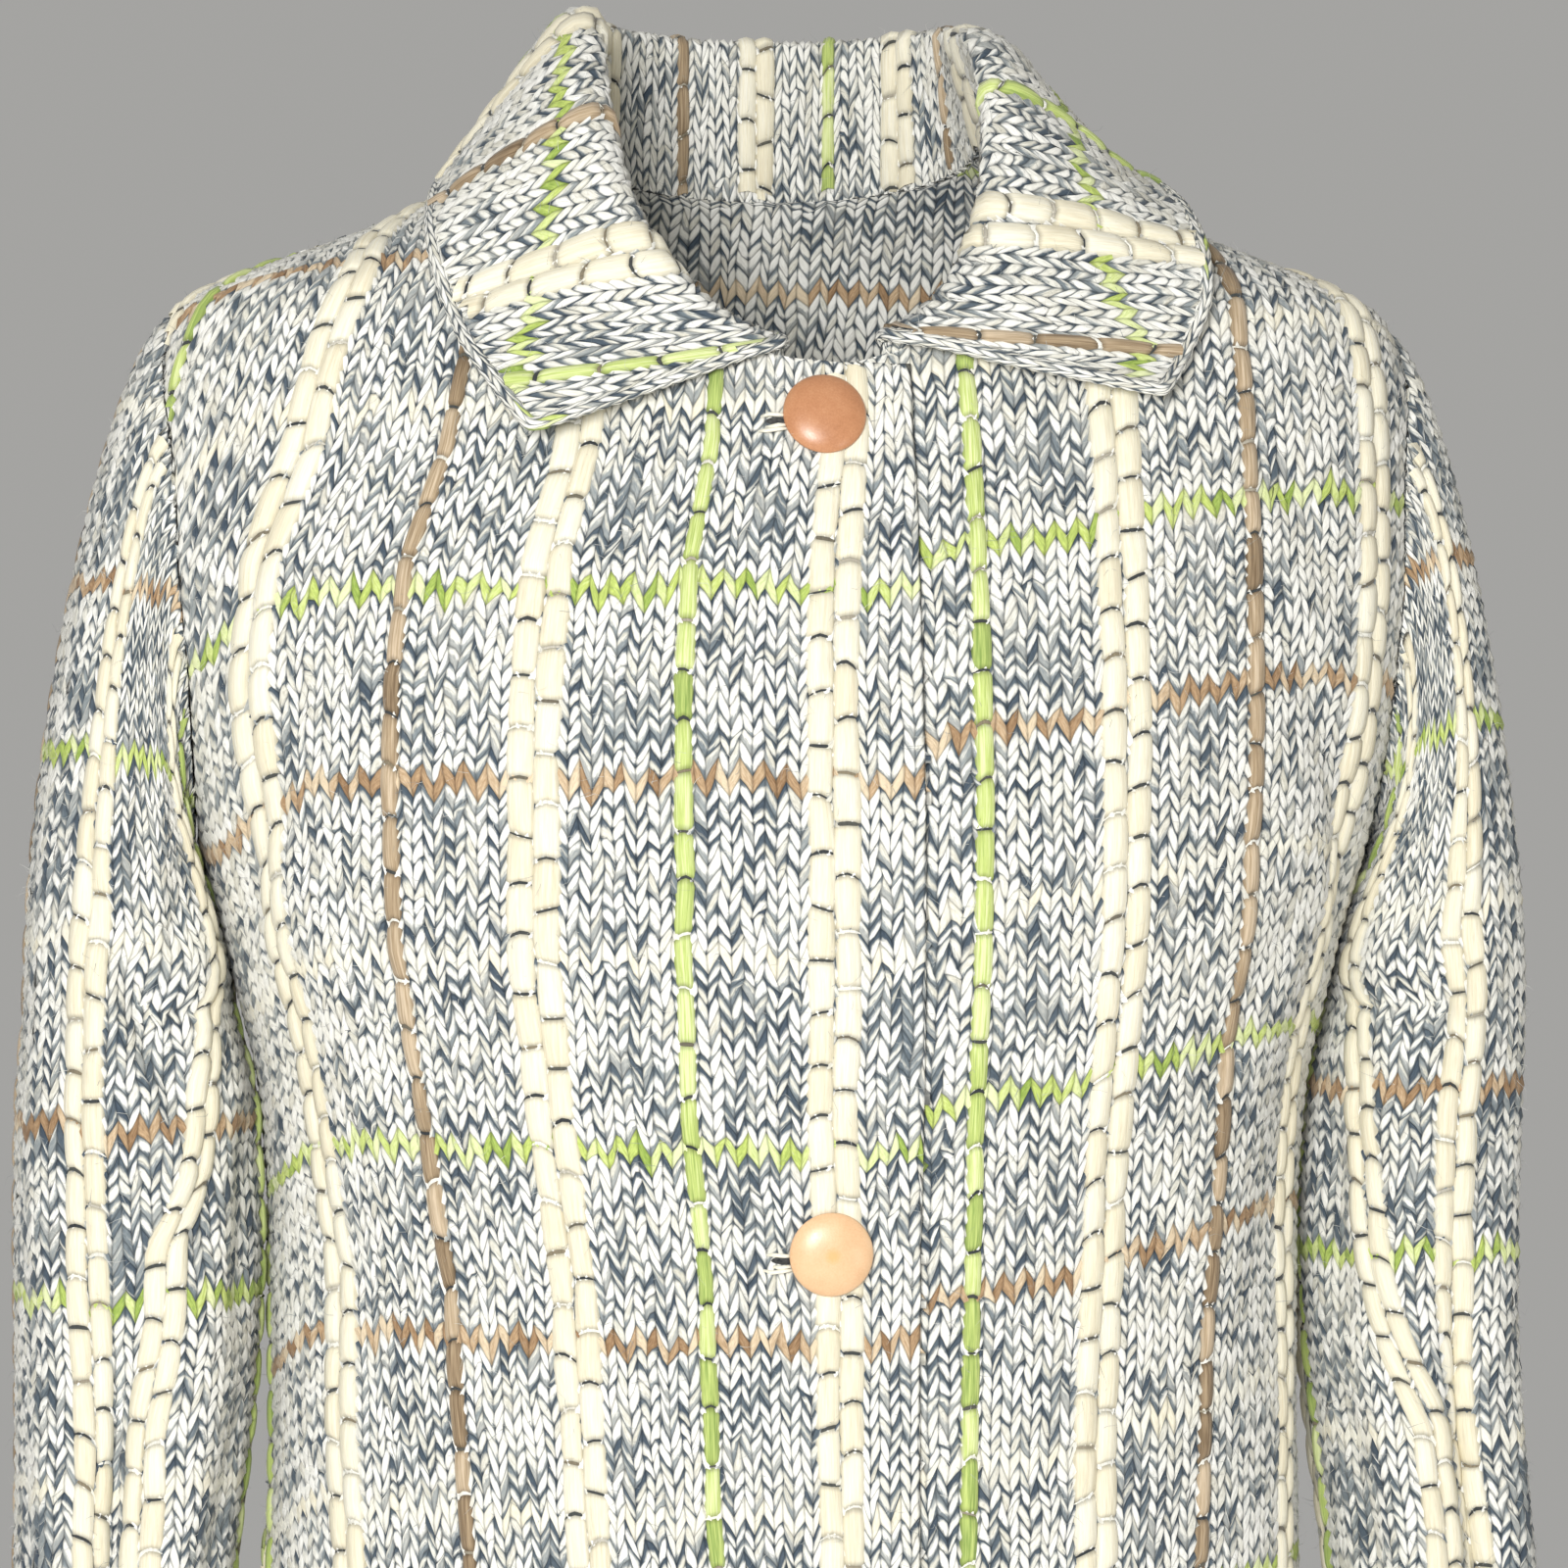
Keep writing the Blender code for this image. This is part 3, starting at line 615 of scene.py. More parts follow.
COLLAR_LEFT = (
    Leaf(0.00, 17, 0.0085, 0.000, 0.1180, -0.110, -0.095),
    Leaf(0.12, 33, 0.0115, 0.000, 0.1270, -0.095, -0.083),
    Leaf(0.26, 50, 0.0200, -0.002, 0.1330, -0.072, -0.067),
    Leaf(0.40, 68, 0.0325, -0.008, 0.1310, -0.050, -0.051),
    Leaf(0.54, 89, 0.0420, -0.012, 0.1215, -0.012, -0.030),
    Leaf(0.70, 115, 0.0530, -0.007, 0.1015, 0.050, -0.034),
    Leaf(0.85, 146, 0.0580, -0.001, 0.0640, 0.086, -0.048),
    Leaf(1.00, 180, 0.0590, 0.000, 0.0000, 0.102, -0.052),
)
ROLL = 0.0058
COLLAR_LIFT = 0.0050
FOLD_LIFT = 0.0030
COLLAR_BULGE = 0.012
COLLAR_TUCK = 0.0016  # the knit reaches this far down over the neck seam, and hides it

# %% [markdown]
# The leaf must lie on the shoulders and not in them. So each point of it is moved straight out
# until it has its distance from the body, which is measured on the body's own rounded sections.

# %% The collar's chart
def clear_of_body(point, distance):
    """Moves a point straight out until it is this far from the body's cloth."""
    point = np.array(point, float)

    def outside(place):
        height = min(place[2], 0.0)
        half_width = smooth(BODY, "half_width", height)
        depth = smooth(BODY, "front" if place[1] < 0 else "back", height)
        x, y = abs(place[0]) / half_width, abs(place[1]) / depth
        return (x**ROUNDNESS + y**ROUNDNESS) ** (1 / ROUNDNESS) - 1

    for _ in range(6):
        here = outside(point)
        slope = np.array([outside(point + step) - here for step in np.eye(3) * 1e-4]) / 1e-4
        steep = np.linalg.norm(slope)
        missing = distance - here / steep
        if missing <= 1e-5:
            break
        point = point + slope / steep * missing
    return point


def cut_corners(line):
    """Rounds a line of points, and keeps its two ends."""
    line = np.array(line)
    near = line[:-1] * 0.75 + line[1:] * 0.25
    far = line[:-1] * 0.25 + line[1:] * 0.75
    inner = np.stack([near, far], axis=1).reshape(-1, 3)
    return np.concatenate([line[:1], inner, line[-1:]])


def neck_seam(angle):
    """The place on the neck seam at this angle, counted from the front, in degrees."""
    side = "front" if angle <= 90 else "back"
    turn = math.radians(angle if side == "front" else 180 - angle)
    height = (NECK_FRONT if side == "front" else NECK_BACK) * math.cos(turn)
    length, xs, ys = ring(height, side)
    around = np.interp(NECK_HALF * math.sin(turn), xs, length)
    facing = -1 if side == "front" else 1
    return np.array([np.interp(around, length, xs), facing * np.interp(around, length, ys), height])


def collar_line(table, share, hand):
    """The collar's section at one place, from its seam to its outer edge."""
    stand = smooth(table, "stand", share)
    seam = neck_seam(float(smooth(table, "neck_angle", share)))
    away = np.array([seam[0], seam[1] - NECK_CENTRE, 0])
    away /= np.linalg.norm(away)
    foot = seam - away * WALL + np.array([0, 0, 2 * SEAM])
    top = foot + away * smooth(table, "lean", share) + np.array([0, 0, stand])
    edge = np.array([smooth(table, field, share) for field in ("edge_x", "edge_y", "edge_z")])
    lap = lap_lift(0) * (1 - ease(edge[0], *LAP_FADE)) if hand < 0 else 0.0
    edge = clear_of_body(edge, COLLAR_LIFT + lap)
    roll = min(ROLL, stand * 0.62)
    below = top - np.array([0, 0, roll])
    turned = top + away * 2.1 * roll - np.array([0, 0, 0.4 * roll])
    line = [foot - [0, 0, COLLAR_TUCK], (foot + below) / 2, below]
    line += [top - away * 0.05 * roll - [0, 0, 0.3 * roll], top + away * 0.8 * roll, turned]
    bulge = COLLAR_BULGE * np.linalg.norm(edge - turned) * min(stand / 0.05, 1)
    for t in np.linspace(0, 1, 9)[1:]:
        round_out = bulge * math.sin(math.pi * t**0.7) * (1 - t)
        point = turned * (1 - t) + edge * t + np.array([away[0], away[1], 0.9]) * round_out
        near_fold = 1 - ease(t, 0.0, 0.6)
        lap = lap_lift(abs(point[0])) if hand < 0 else lap_lift(-point[0])
        line.append(clear_of_body(point, COLLAR_LIFT + near_fold * FOLD_LIFT + lap))
    return cut_corners(cut_corners(line))


def collar_chart():
    """The whole collar from its right point to its left one, in even lengths of cloth."""
    shares = np.linspace(0, 1, 61)
    right = [collar_line(COLLAR_RIGHT, share, -1) * [-1, 1, 1] for share in shares]
    left = [collar_line(COLLAR_LEFT, share, 1) for share in shares]
    net = np.array(right + left[-2::-1]).transpose(1, 0, 2)
    lengths = lengths_along(net[(len(net) * 2) // 3])
    across = np.arange(0, lengths[-1], STEP)
    points = np.array([read_path(across, lengths, row) for row in net])
    points[:, -1] = net[:, -1]
    return Chart(points, outward(points, 1), 0.0, STEP)


# %% [markdown]
# ## Cloths
# A **cloth** joins a chart with its outline and with the length of cloth up each column. A stitch
# has a column number `u` and a row number `v`. Rows are counted from the waist on the body, from
# the cuff on a sleeve and from the neck seam on the collar. The knit is a little narrower at the
# waist than at the chest, as the photograph shows, and its rows sag or rise sideways by `drop`.

# %% From stitches to places
STITCH = 0.0077
COURSE = 0.00596
WAIST = -0.390
Cloth = namedtuple("Cloth", "chart lengths outline heights narrow drop hand lift")
Wales = namedtuple("Wales", "height width shift")
WALES = {
    "front_right": (
        Wales(HEM, 1.00, 0), Wales(-0.75, 0.96, -0.002), Wales(-0.64, 0.90, -0.004),
        Wales(-0.52, 0.84, -0.005), Wales(-0.40, 0.895, -0.0035), Wales(-0.344, 0.95, 0),
        Wales(-0.288, 1.01, 0), Wales(-0.231, 1.01, 0), Wales(-0.197, 1.0, 0),
        Wales(-0.155, 0.97, -0.002), Wales(-0.116, 0.905, -0.007), Wales(-0.076, 0.85, -0.008),
        Wales(-0.052, 0.79, -0.006), Wales(0, 0.75, 0),
    ),
    "front_left": (
        Wales(HEM, 1.00, 0), Wales(-0.75, 0.98, 0.002), Wales(-0.64, 0.94, 0.003),
        Wales(-0.52, 0.90, 0.003), Wales(-0.457, 0.93, 0.002), Wales(-0.40, 0.963, 0.001),
        Wales(-0.344, 0.992, 0), Wales(-0.288, 1.028, 0), Wales(-0.231, 1.035, 0),
        Wales(-0.118, 1.03, 0), Wales(0, 1.0, 0),
    ),
    "back": (
        Wales(HEM, 1.00, 0), Wales(-0.75, 0.96, 0), Wales(-0.64, 0.90, 0), Wales(-0.52, 0.84, 0),
        Wales(-0.40, 0.90, 0), Wales(-0.26, 1.0, 0), Wales(0, 1.0, 0),
    ),
}


def rows_at(cloth, across, up):
    """The chart's row at each place, found by halving, since cloth only gets longer upwards."""
    columns = (across - cloth.chart.first) / cloth.chart.step
    low = np.zeros_like(up)
    high = np.full_like(up, len(cloth.lengths) - 1.0)
    for _ in range(16):
        middle = (low + high) / 2
        below = sample(cloth.lengths[:, :, None], middle, columns)[:, 0] < up
        low, high = np.where(below, middle, low), np.where(below, high, middle)
    return (low + high) / 2


def locate(cloth, u, v):
    """The place across and up the cloth of each stitch."""
    across = u * STITCH
    up = v * COURSE + cloth.drop(across)
    if cloth.heights is None:
        return np.stack([across + cloth.narrow(across, up), up], axis=1)
    at, width, shift = zip(*cloth.narrow)
    for _ in range(3):
        height = np.interp(rows_at(cloth, across, up), np.arange(len(cloth.heights)), cloth.heights)
        across = u * STITCH * np.interp(height, at, width) + np.interp(height, at, shift)
        up = v * COURSE + cloth.drop(across)
    return np.stack([across, up], axis=1)


def on_cloth(cloth, places, out):
    """Points over the coat's outer side, by out."""
    across, up = places.T
    rows = rows_at(cloth, across, up)
    columns = (across - cloth.chart.first) / cloth.chart.step
    if cloth.lift:
        out = out + cloth.lift(across)
    normals = sample(cloth.chart.normals, rows, columns)
    normals /= np.linalg.norm(normals, axis=1, keepdims=True)
    points = sample(cloth.chart.points, rows, columns) + np.asarray(out)[:, None] * normals
    points[:, 0] *= cloth.hand
    return points


def as_lengths(chart, lengths, outline):
    """Changes an outline's second number from a row of the chart to a length of cloth."""
    columns = (outline[:, 0] - chart.first) / chart.step
    up = sample(lengths[:, :, None], outline[:, 1], columns)[:, 0]
    return np.stack([outline[:, 0], up], axis=1)

# %% [markdown]
# Next come the knit's small lies: rows that sag or ride up, and columns that turn at the collar's
# tips. Each is a function of the place on the cloth, so that every piece on that cloth shares it.

# %% How the knit hangs
COLLAR_SAG = (
    (0.000, 0.010), (0.020, -0.006), (0.035, -0.018), (0.050, -0.027), (0.065, -0.032), (0.080, -0.037),
    (0.110, -0.042), (0.200, -0.036), (0.330, -0.030), (0.500, -0.020), (0.540, -0.019), (0.570, -0.025),
    (0.600, -0.028), (0.615, -0.026), (0.630, -0.021), (0.645, -0.011), (0.665, 0.002),
)


def level(across):
    return np.zeros_like(across)


def rises_to_side(across):
    return 0.010 + 0.030 * ease(across, 0.0, 0.20)


def drops_at_armhole(across):
    return -0.022 * ease(across, 0.180, 0.250)


def rides_up(across):
    return np.full_like(across, 0.0105)


def sags_behind_the_tips(across):
    return np.interp(across, *zip(*COLLAR_SAG))


def straight(across, up):
    return 0 * across


def turns_at_the_tips(across, up):
    """On the collar's two front leaves the wales turn a little, so that they lie more level."""
    turn = 0.26 * (1 - ease(across, 0.10, 0.22)) - 0.24 * ease(across, 0.46, 0.56)
    return turn * (np.clip(up, 0.02, 0.16) - 0.085)


def body_cloth(name, side, hand, drop):
    """A front or the back, with its rows counted from the waist."""
    chart = body_chart(side, CREASES[name])
    lengths = lengths_up(chart.points)
    lengths = lengths - lengths[int(round((WAIST - HEM) / STEP))]
    outline = body_outline(side, LAP)
    outline[:, 1] = (outline[:, 1] - HEM) / STEP
    lift = lap_lift if name == "front_right" else None
    return Cloth(chart, lengths, as_lengths(chart, lengths, outline), HEIGHTS, WALES[name], drop, hand, lift)


def tube_cloth(chart, first, last, hand, drop=level, narrow=straight):
    """A sleeve or the collar, between its first and its last column."""
    lengths = lengths_up(chart.points)
    rows = np.arange(len(first), dtype=float)
    left = np.stack([first, rows], axis=1)
    right = np.stack([last, rows], axis=1)[::-1]
    top = np.stack([np.linspace(first[-1], last[-1], 80), np.full(80, rows[-1])], axis=1)[1:-1]
    bottom = np.stack([np.linspace(last[0], first[0], 60), np.zeros(60)], axis=1)[1:-1]
    outline = as_lengths(chart, lengths, np.concatenate([left, top, right, bottom]))
    return Cloth(chart, lengths, outline, None, narrow, drop, hand, None)


collar = collar_chart()
collar_end = np.full(len(collar.points), (collar.points.shape[1] - 1) * STEP)
CLOTHS = {
    "front_right": body_cloth("front_right", "front", -1, drops_at_armhole),
    "front_left": body_cloth("front_left", "front", 1, rises_to_side),
    "back": body_cloth("back", "back", 1, level),
    "sleeve_right": tube_cloth(*sleeve_chart(ARM_RIGHT), -1),
    "sleeve_left": tube_cloth(*sleeve_chart(ARM_LEFT), 1, rides_up),
    "collar": tube_cloth(collar, 0 * collar_end, collar_end, 1, sags_behind_the_tips, turns_at_the_tips),
}
for name, cloth in CLOTHS.items():
    print(name, "outline from", cloth.outline.min(axis=0).round(3), "to", cloth.outline.max(axis=0).round(3))

# %% [markdown]
# ## Grids laid on the cloth
# The knit, the ribbons and the hairs are all made in one way. A flat grid of faces is made first,
# each of its corners gets a place on the cloth and a height over it, and faces that reach outside
# the seams or join two pieces are removed. These helpers do that, whatever the grid is for.

# %% Grids of faces
def grid_mesh(columns, rows):
    """A flat grid's mesh, with the column and row number of each of its corners."""
    grid = bmesh.new()
    bmesh.ops.create_grid(grid, x_segments=columns, y_segments=rows, size=0.5)
    data = to_data("grid", grid)
    flat = np.zeros(len(data.vertices) * 3)
    data.vertices.foreach_get("co", flat)
    across, up = flat.reshape(-1, 3).T[:2]
    return data, np.rint((across + 0.5) * columns).astype(int), np.rint((up + 0.5) * rows).astype(int)


def set_points(data, points):
    data.vertices.foreach_set("co", np.ascontiguousarray(points, dtype=np.float32).ravel())


def set_uv(data, name, u, v):
    """Writes a UV map from two numbers for each corner of the mesh."""
    corner = np.zeros(len(data.loops), dtype=np.int32)
    data.loops.foreach_get("vertex_index", corner)
    uv = np.stack([u[corner], v[corner]], axis=1).astype(np.float32)
    data.uv_layers.new(name=name).data.foreach_set("uv", uv.ravel())


def keep_inside(cloth, places):
    """Moves places outside the seams onto them; tells which were inside, and how deep each lies."""
    kept = inside(places, cloth.outline)
    edge, away = nearest(places, cloth.outline)
    places[~kept] = edge[~kept]
    return kept, np.where(kept, away, 0)


def keep_faces(data, kept, turn_round, groups=None):
    """Removes faces that lie outside, and turns the rest to point outwards. With groups, a face
    must be wholly inside and have all its corners in one group."""
    mesh = bmesh.new()
    mesh.from_mesh(data)
    gone = []
    for face in mesh.faces:
        corners = [v.index for v in face.verts]
        if groups is None:
            stays = any(kept[k] for k in corners)
        else:
            stays = all(kept[k] for k in corners) and len({groups[k] for k in corners}) == 1
        if not stays:
            gone.append(face)
    bmesh.ops.delete(mesh, geom=gone, context="FACES")
    if turn_round:
        bmesh.ops.reverse_faces(mesh, faces=mesh.faces)
    mesh.to_mesh(data)
    mesh.free()


def add_object(name, data, paint):
    """A finished piece, smoothly shaded."""
    data.name = name
    data.materials.append(paint)
    piece = show(name, data)
    data.shade_smooth()
    return piece


def facing_out(cloth):
    """Whether a grid laid on this cloth points outwards without being turned round."""
    middle = np.array([[cloth.outline[:, 0].mean(), cloth.outline[:, 1].mean()]])
    spots = np.concatenate([middle, middle + [[0.002, 0]], middle + [[0, 0.002]]])
    a, b, c = on_cloth(cloth, spots, np.zeros(3))
    out = on_cloth(cloth, middle, np.array([0.001]))[0] - a
    return np.dot(np.cross(b - a, c - a), out) > 0


print("panels to turn round:", [name for name, cloth in CLOTHS.items() if not facing_out(cloth)])

# %% [markdown]
# ## The knit, stitch by stitch
# Each stitch of stocking knit is a V of two steep legs. A grid with four columns to a stitch and
# two rows to a course is bent so that its rows follow the legs: then every second row can stand up
# as the round of the yarn, and the rows between sink in as the grooves. Real knitting is never
# regular, so columns and stitches are shifted a little by seeded chance. The cloth's edge is rounded
# over at a hem or a front edge, and hardly at a sewn seam.

# %% A piece of knit
LEG_RISE = 2.1
LEG_PROFILE = np.array([0.20, 1.0, 0.10, 1.0])
RIDGE, GROOVE, RELIEF_FADE = 0.0009, 0.0008, 0.0018
EDGE_ROUND, EDGE_DIP, SEAM_DIP = 0.0022, 0.45, 0.05
INNER_SIDE = 0.95 * WALL
COLUMN_SHIFT, SIDEWAYS_WANDER, UPWARD_WANDER = 0.20, 0.080, 0.17


def stitch_span(cloth):
    """The first and last column and row of a grid that covers a whole panel, with some to spare."""
    low_u, low_v = (cloth.outline.min(axis=0) / (STITCH, COURSE)).astype(int) - (6, 8)
    spare = (6 if cloth.heights is None else 14, 8)
    high_u, high_v = (cloth.outline.max(axis=0) / (STITCH, COURSE)).astype(int) + spare
    if cloth.heights is not None and low_u < -20:
        low_u = -high_u
    return low_u, low_v, high_u, high_v


def uneven(u, v, span, seed):
    """Small sideways and upward shifts: no two columns line up, and no two stitches are alike."""
    low_u, low_v, high_u, high_v = span
    own = np.random.default_rng(seed)
    wale = np.floor(u).astype(int) - low_u
    steps = own.normal(0, COLUMN_SHIFT, high_u - low_u + 3)
    shift = np.where(u == np.floor(u), (steps[wale] + steps[wale - 1]) / 2, steps[wale])
    shape = (high_v - low_v + 8, high_u - low_u + 4)
    tables = np.stack([own.normal(0, SIDEWAYS_WANDER, shape), own.normal(0, UPWARD_WANDER, shape)], axis=2)
    wander = sample(tables, v - low_v + 2, u - low_u + 1)
    return u + wander[:, 0], v + shift + wander[:, 1]


def free_edge(name, cloth, places):
    """1 near a hem, a cuff, a front edge or the collar's edge, and 0 near a sewn seam."""
    across, up = places.T
    if name.startswith("collar"):
        return ease(up, 0.012, 0.030)
    low = cloth.outline.min(axis=0)
    free = 1 - ease(up, low[1] + 0.006, low[1] + 0.014)
    if name.startswith("front"):
        free = np.maximum(free, 1 - ease(across, low[0] + 0.006, low[0] + 0.014))
    return free


def knit(name, cloth, paint, fine=True):
    """One panel: fine is the outer side with its stitches, and otherwise the plain inner side."""
    span = low_u, low_v, high_u, high_v = stitch_span(cloth)
    per_u, per_v = (4, 2) if fine else (1, 0.5)
    data, column, row = grid_mesh(int((high_u - low_u) * per_u), int((high_v - low_v) * per_v))
    u, v = low_u + column / per_u, low_v + row / per_v
    if fine:
        v = v + LEG_RISE * np.abs(u - np.floor(u) - 0.5)
    places = locate(cloth, *uneven(u, v, span, len(name)))
    kept, depth = keep_inside(cloth, places)
    out = np.full(len(u), -INNER_SIDE)
    if fine:
        relief = np.where(row % 2 == 1, RIDGE * LEG_PROFILE[column % 4], -GROOVE)
        over = EDGE_ROUND - np.sqrt(EDGE_ROUND**2 - np.maximum(EDGE_ROUND - depth, 0) ** 2)
        dip = SEAM_DIP + (EDGE_DIP - SEAM_DIP) * free_edge(name, cloth, places)
        out = relief * ease(depth, 0, RELIEF_FADE) - over * dip
    set_points(data, on_cloth(cloth, places, out))
    set_uv(data, "stitch", u, v)
    keep_faces(data, kept, facing_out(cloth) != fine)
    return add_object(name, data, paint)


# %% [markdown]
# ## Yarns as materials
# A material here is a sum over the stitch's column and row, which the UV map holds. In Blender each
# step of a sum is a node. To keep the sums readable, a `Value` stands for one node's result, and
# adding, subtracting or multiplying values makes the next node. A `Paint` makes every other kind.

# %% A helper for node sums
class Value:
    """One number, place or colour in a material."""

    def __init__(self, paint, socket):
        self.paint, self.socket = paint, socket

    def __add__(self, other):
        return self.paint.math("ADD", self, other)

    def __sub__(self, other):
        return self.paint.math("SUBTRACT", self, other)

    def __rsub__(self, other):
        return self.paint.math("SUBTRACT", other, self)

    def __mul__(self, other):
        return self.paint.math("MULTIPLY", self, other)

    def __pow__(self, other):
        return self.paint.math("POWER", self, other)

    def __abs__(self):
        return self.paint.math("ABSOLUTE", self)


class Paint:
    """A material whose nodes are written as sums."""

    def __init__(self, name):
        self.material = bpy.data.materials.new(name)
        self.material.use_nodes = True
        self.tree = self.material.node_tree
        self.surface = self.tree.nodes["Principled BSDF"].inputs

    def put(self, socket, value):
        """Joins a value to a socket, or sets a plain number, place or colour there."""
        if isinstance(value, Value):
            self.tree.links.new(value.socket, socket)
        else:
            socket.default_value = (*value, 1) if socket.type == "RGBA" else value

    def node(self, kind, inputs, output=0, **settings):
        """Adds a node, fills some of its inputs and gives one of its outputs."""
        node = self.tree.nodes.new("ShaderNode" + kind)
        for setting, value in settings.items():
            setattr(node, setting, value)
        for socket, value in inputs.items():
            self.put(node.inputs[socket], value)
        return Value(self, node.outputs[output])

    def math(self, operation, *values):
        return self.node("Math", dict(enumerate(values)), operation=operation)

    def step(self, value, low, high, to_low=0.0, to_high=1.0):
        """A soft step between two values."""
        inputs = dict(enumerate((value, low, high, to_low, to_high)))
        return self.node("MapRange", inputs, interpolation_type="SMOOTHSTEP")

    def uv(self, name):
        """The two numbers that a UV map holds."""
        place = self.node("UVMap", {}, uv_map=name)
        return self.node("SeparateXYZ", {0: place}, "X"), self.node("SeparateXYZ", {0: place}, "Y")

    def on_object(self):
        """The place on the object, in metres."""
        return self.node("TexCoord", {}, "Object")

    def place(self, parts):
        """Three numbers as a place; a place stays as it is."""
        return self.node("CombineXYZ", dict(enumerate(parts))) if isinstance(parts, tuple) else parts

    def noise(self, place, scale=1.0, detail=2.0, rough=0.5):
        """Soft clouds."""
        inputs = {"Vector": self.place(place), "Scale": scale, "Detail": detail, "Roughness": rough}
        return self.node("TexNoise", inputs, "Fac")

    def chance(self, *parts):
        """A number between 0 and 1 that is the same wherever these three are the same."""
        return self.node("TexWhiteNoise", {"Vector": self.place(parts)}, "Value", noise_dimensions="3D")

    def ramp(self, value, stops):
        """A colour that runs through some stops as the value grows."""
        colour = self.node("ValToRGB", {0: value})
        band = colour.socket.node.color_ramp
        while len(band.elements) < len(stops):
            band.elements.new(0.5)
        for element, (place, shade) in zip(band.elements, stops):
            element.position, element.color = place, (*shade, 1)
        return colour

    def mix(self, share, first, second, way="MIX"):
        return self.node("Mix", {0: share, 6: first, 7: second}, 2, data_type="RGBA", blend_type=way)

    def darker(self, colour, shade):
        """A colour times a grey."""
        return self.mix(1.0, colour, self.place((shade, shade, shade)), "MULTIPLY")

    def bump(self, height, distance, strength):
        inputs = {"Distance": distance, "Strength": strength, "Height": height}
        self.put(self.surface["Normal"], self.node("Bump", inputs))

    def finish(self, colour, rough, sheen=0.0, specular=0.3):
        looks = {"Base Color": colour, "Roughness": rough, "Sheen Weight": sheen, "Specular IOR Level": specular}
        for socket, value in looks.items():
            self.put(self.surface[socket], value)
        self.surface["Sheen Roughness"].default_value = 0.5
        return self.material


def hump(value):
    """0 where a value is 0 or 1, and 1 halfway between."""
    return value * (1.0 - value) * 4.0


# %% [markdown]
# ** The marled knit.** Two yarns, an off-white and a dark slate one, are spun loosely together. A
# leg of a stitch shows now one and now the other, and they come in runs, so the tone of each leg
# is a chance of its own plus a slow wandering one. Painted shade in the hollows between the legs
# and at their ends does as much as the colours. Every 32 courses of the body hold one green, one
# white and one brown row, and the sleeves have the same rows at other places. The collar has only
# the green one. The sleeves show less of the off-white yarn and the collar more, partly as painted
# shade on the sleeves and painted light on the collar.

# %% The marled knit
OFF_WHITE = (0.88, 0.865, 0.78)
SLATE = (0.125, 0.158, 0.185)
GREENS = ((0.30, 0.43, 0.09), (0.58, 0.69, 0.19), (0.82, 0.88, 0.50))
BROWNS = ((0.30, 0.18, 0.095), (0.53, 0.36, 0.21), (0.82, 0.68, 0.48))
CREAMS = ((0.74, 0.65, 0.45), (0.90, 0.84, 0.65), (0.96, 0.935, 0.81))
PALE_YARN = ((0.1, (0.60, 0.57, 0.46)), (0.45, OFF_WHITE), (0.8, (0.96, 0.95, 0.89)))
DARK_YARN = (
    (0.1, (0.055, 0.078, 0.108)), (0.45, SLATE), (0.75, (0.30, 0.335, 0.345)), (1.0, (0.52, 0.52, 0.48)),
)
# The sleeves' share is lower partly as painted shade, and the collar's is higher partly as painted light.
BODY_SHARE, SLEEVE_SHARE_PAINTED_DARKER, COLLAR_SHARE_PAINTED_LIGHTER = 0.77, 0.60, 0.90
COURSES_IN_CHECK = 32.0


def shades_at(places, shades):
    """A ramp's stops: three shades at three places."""
    return list(zip(places, shades))


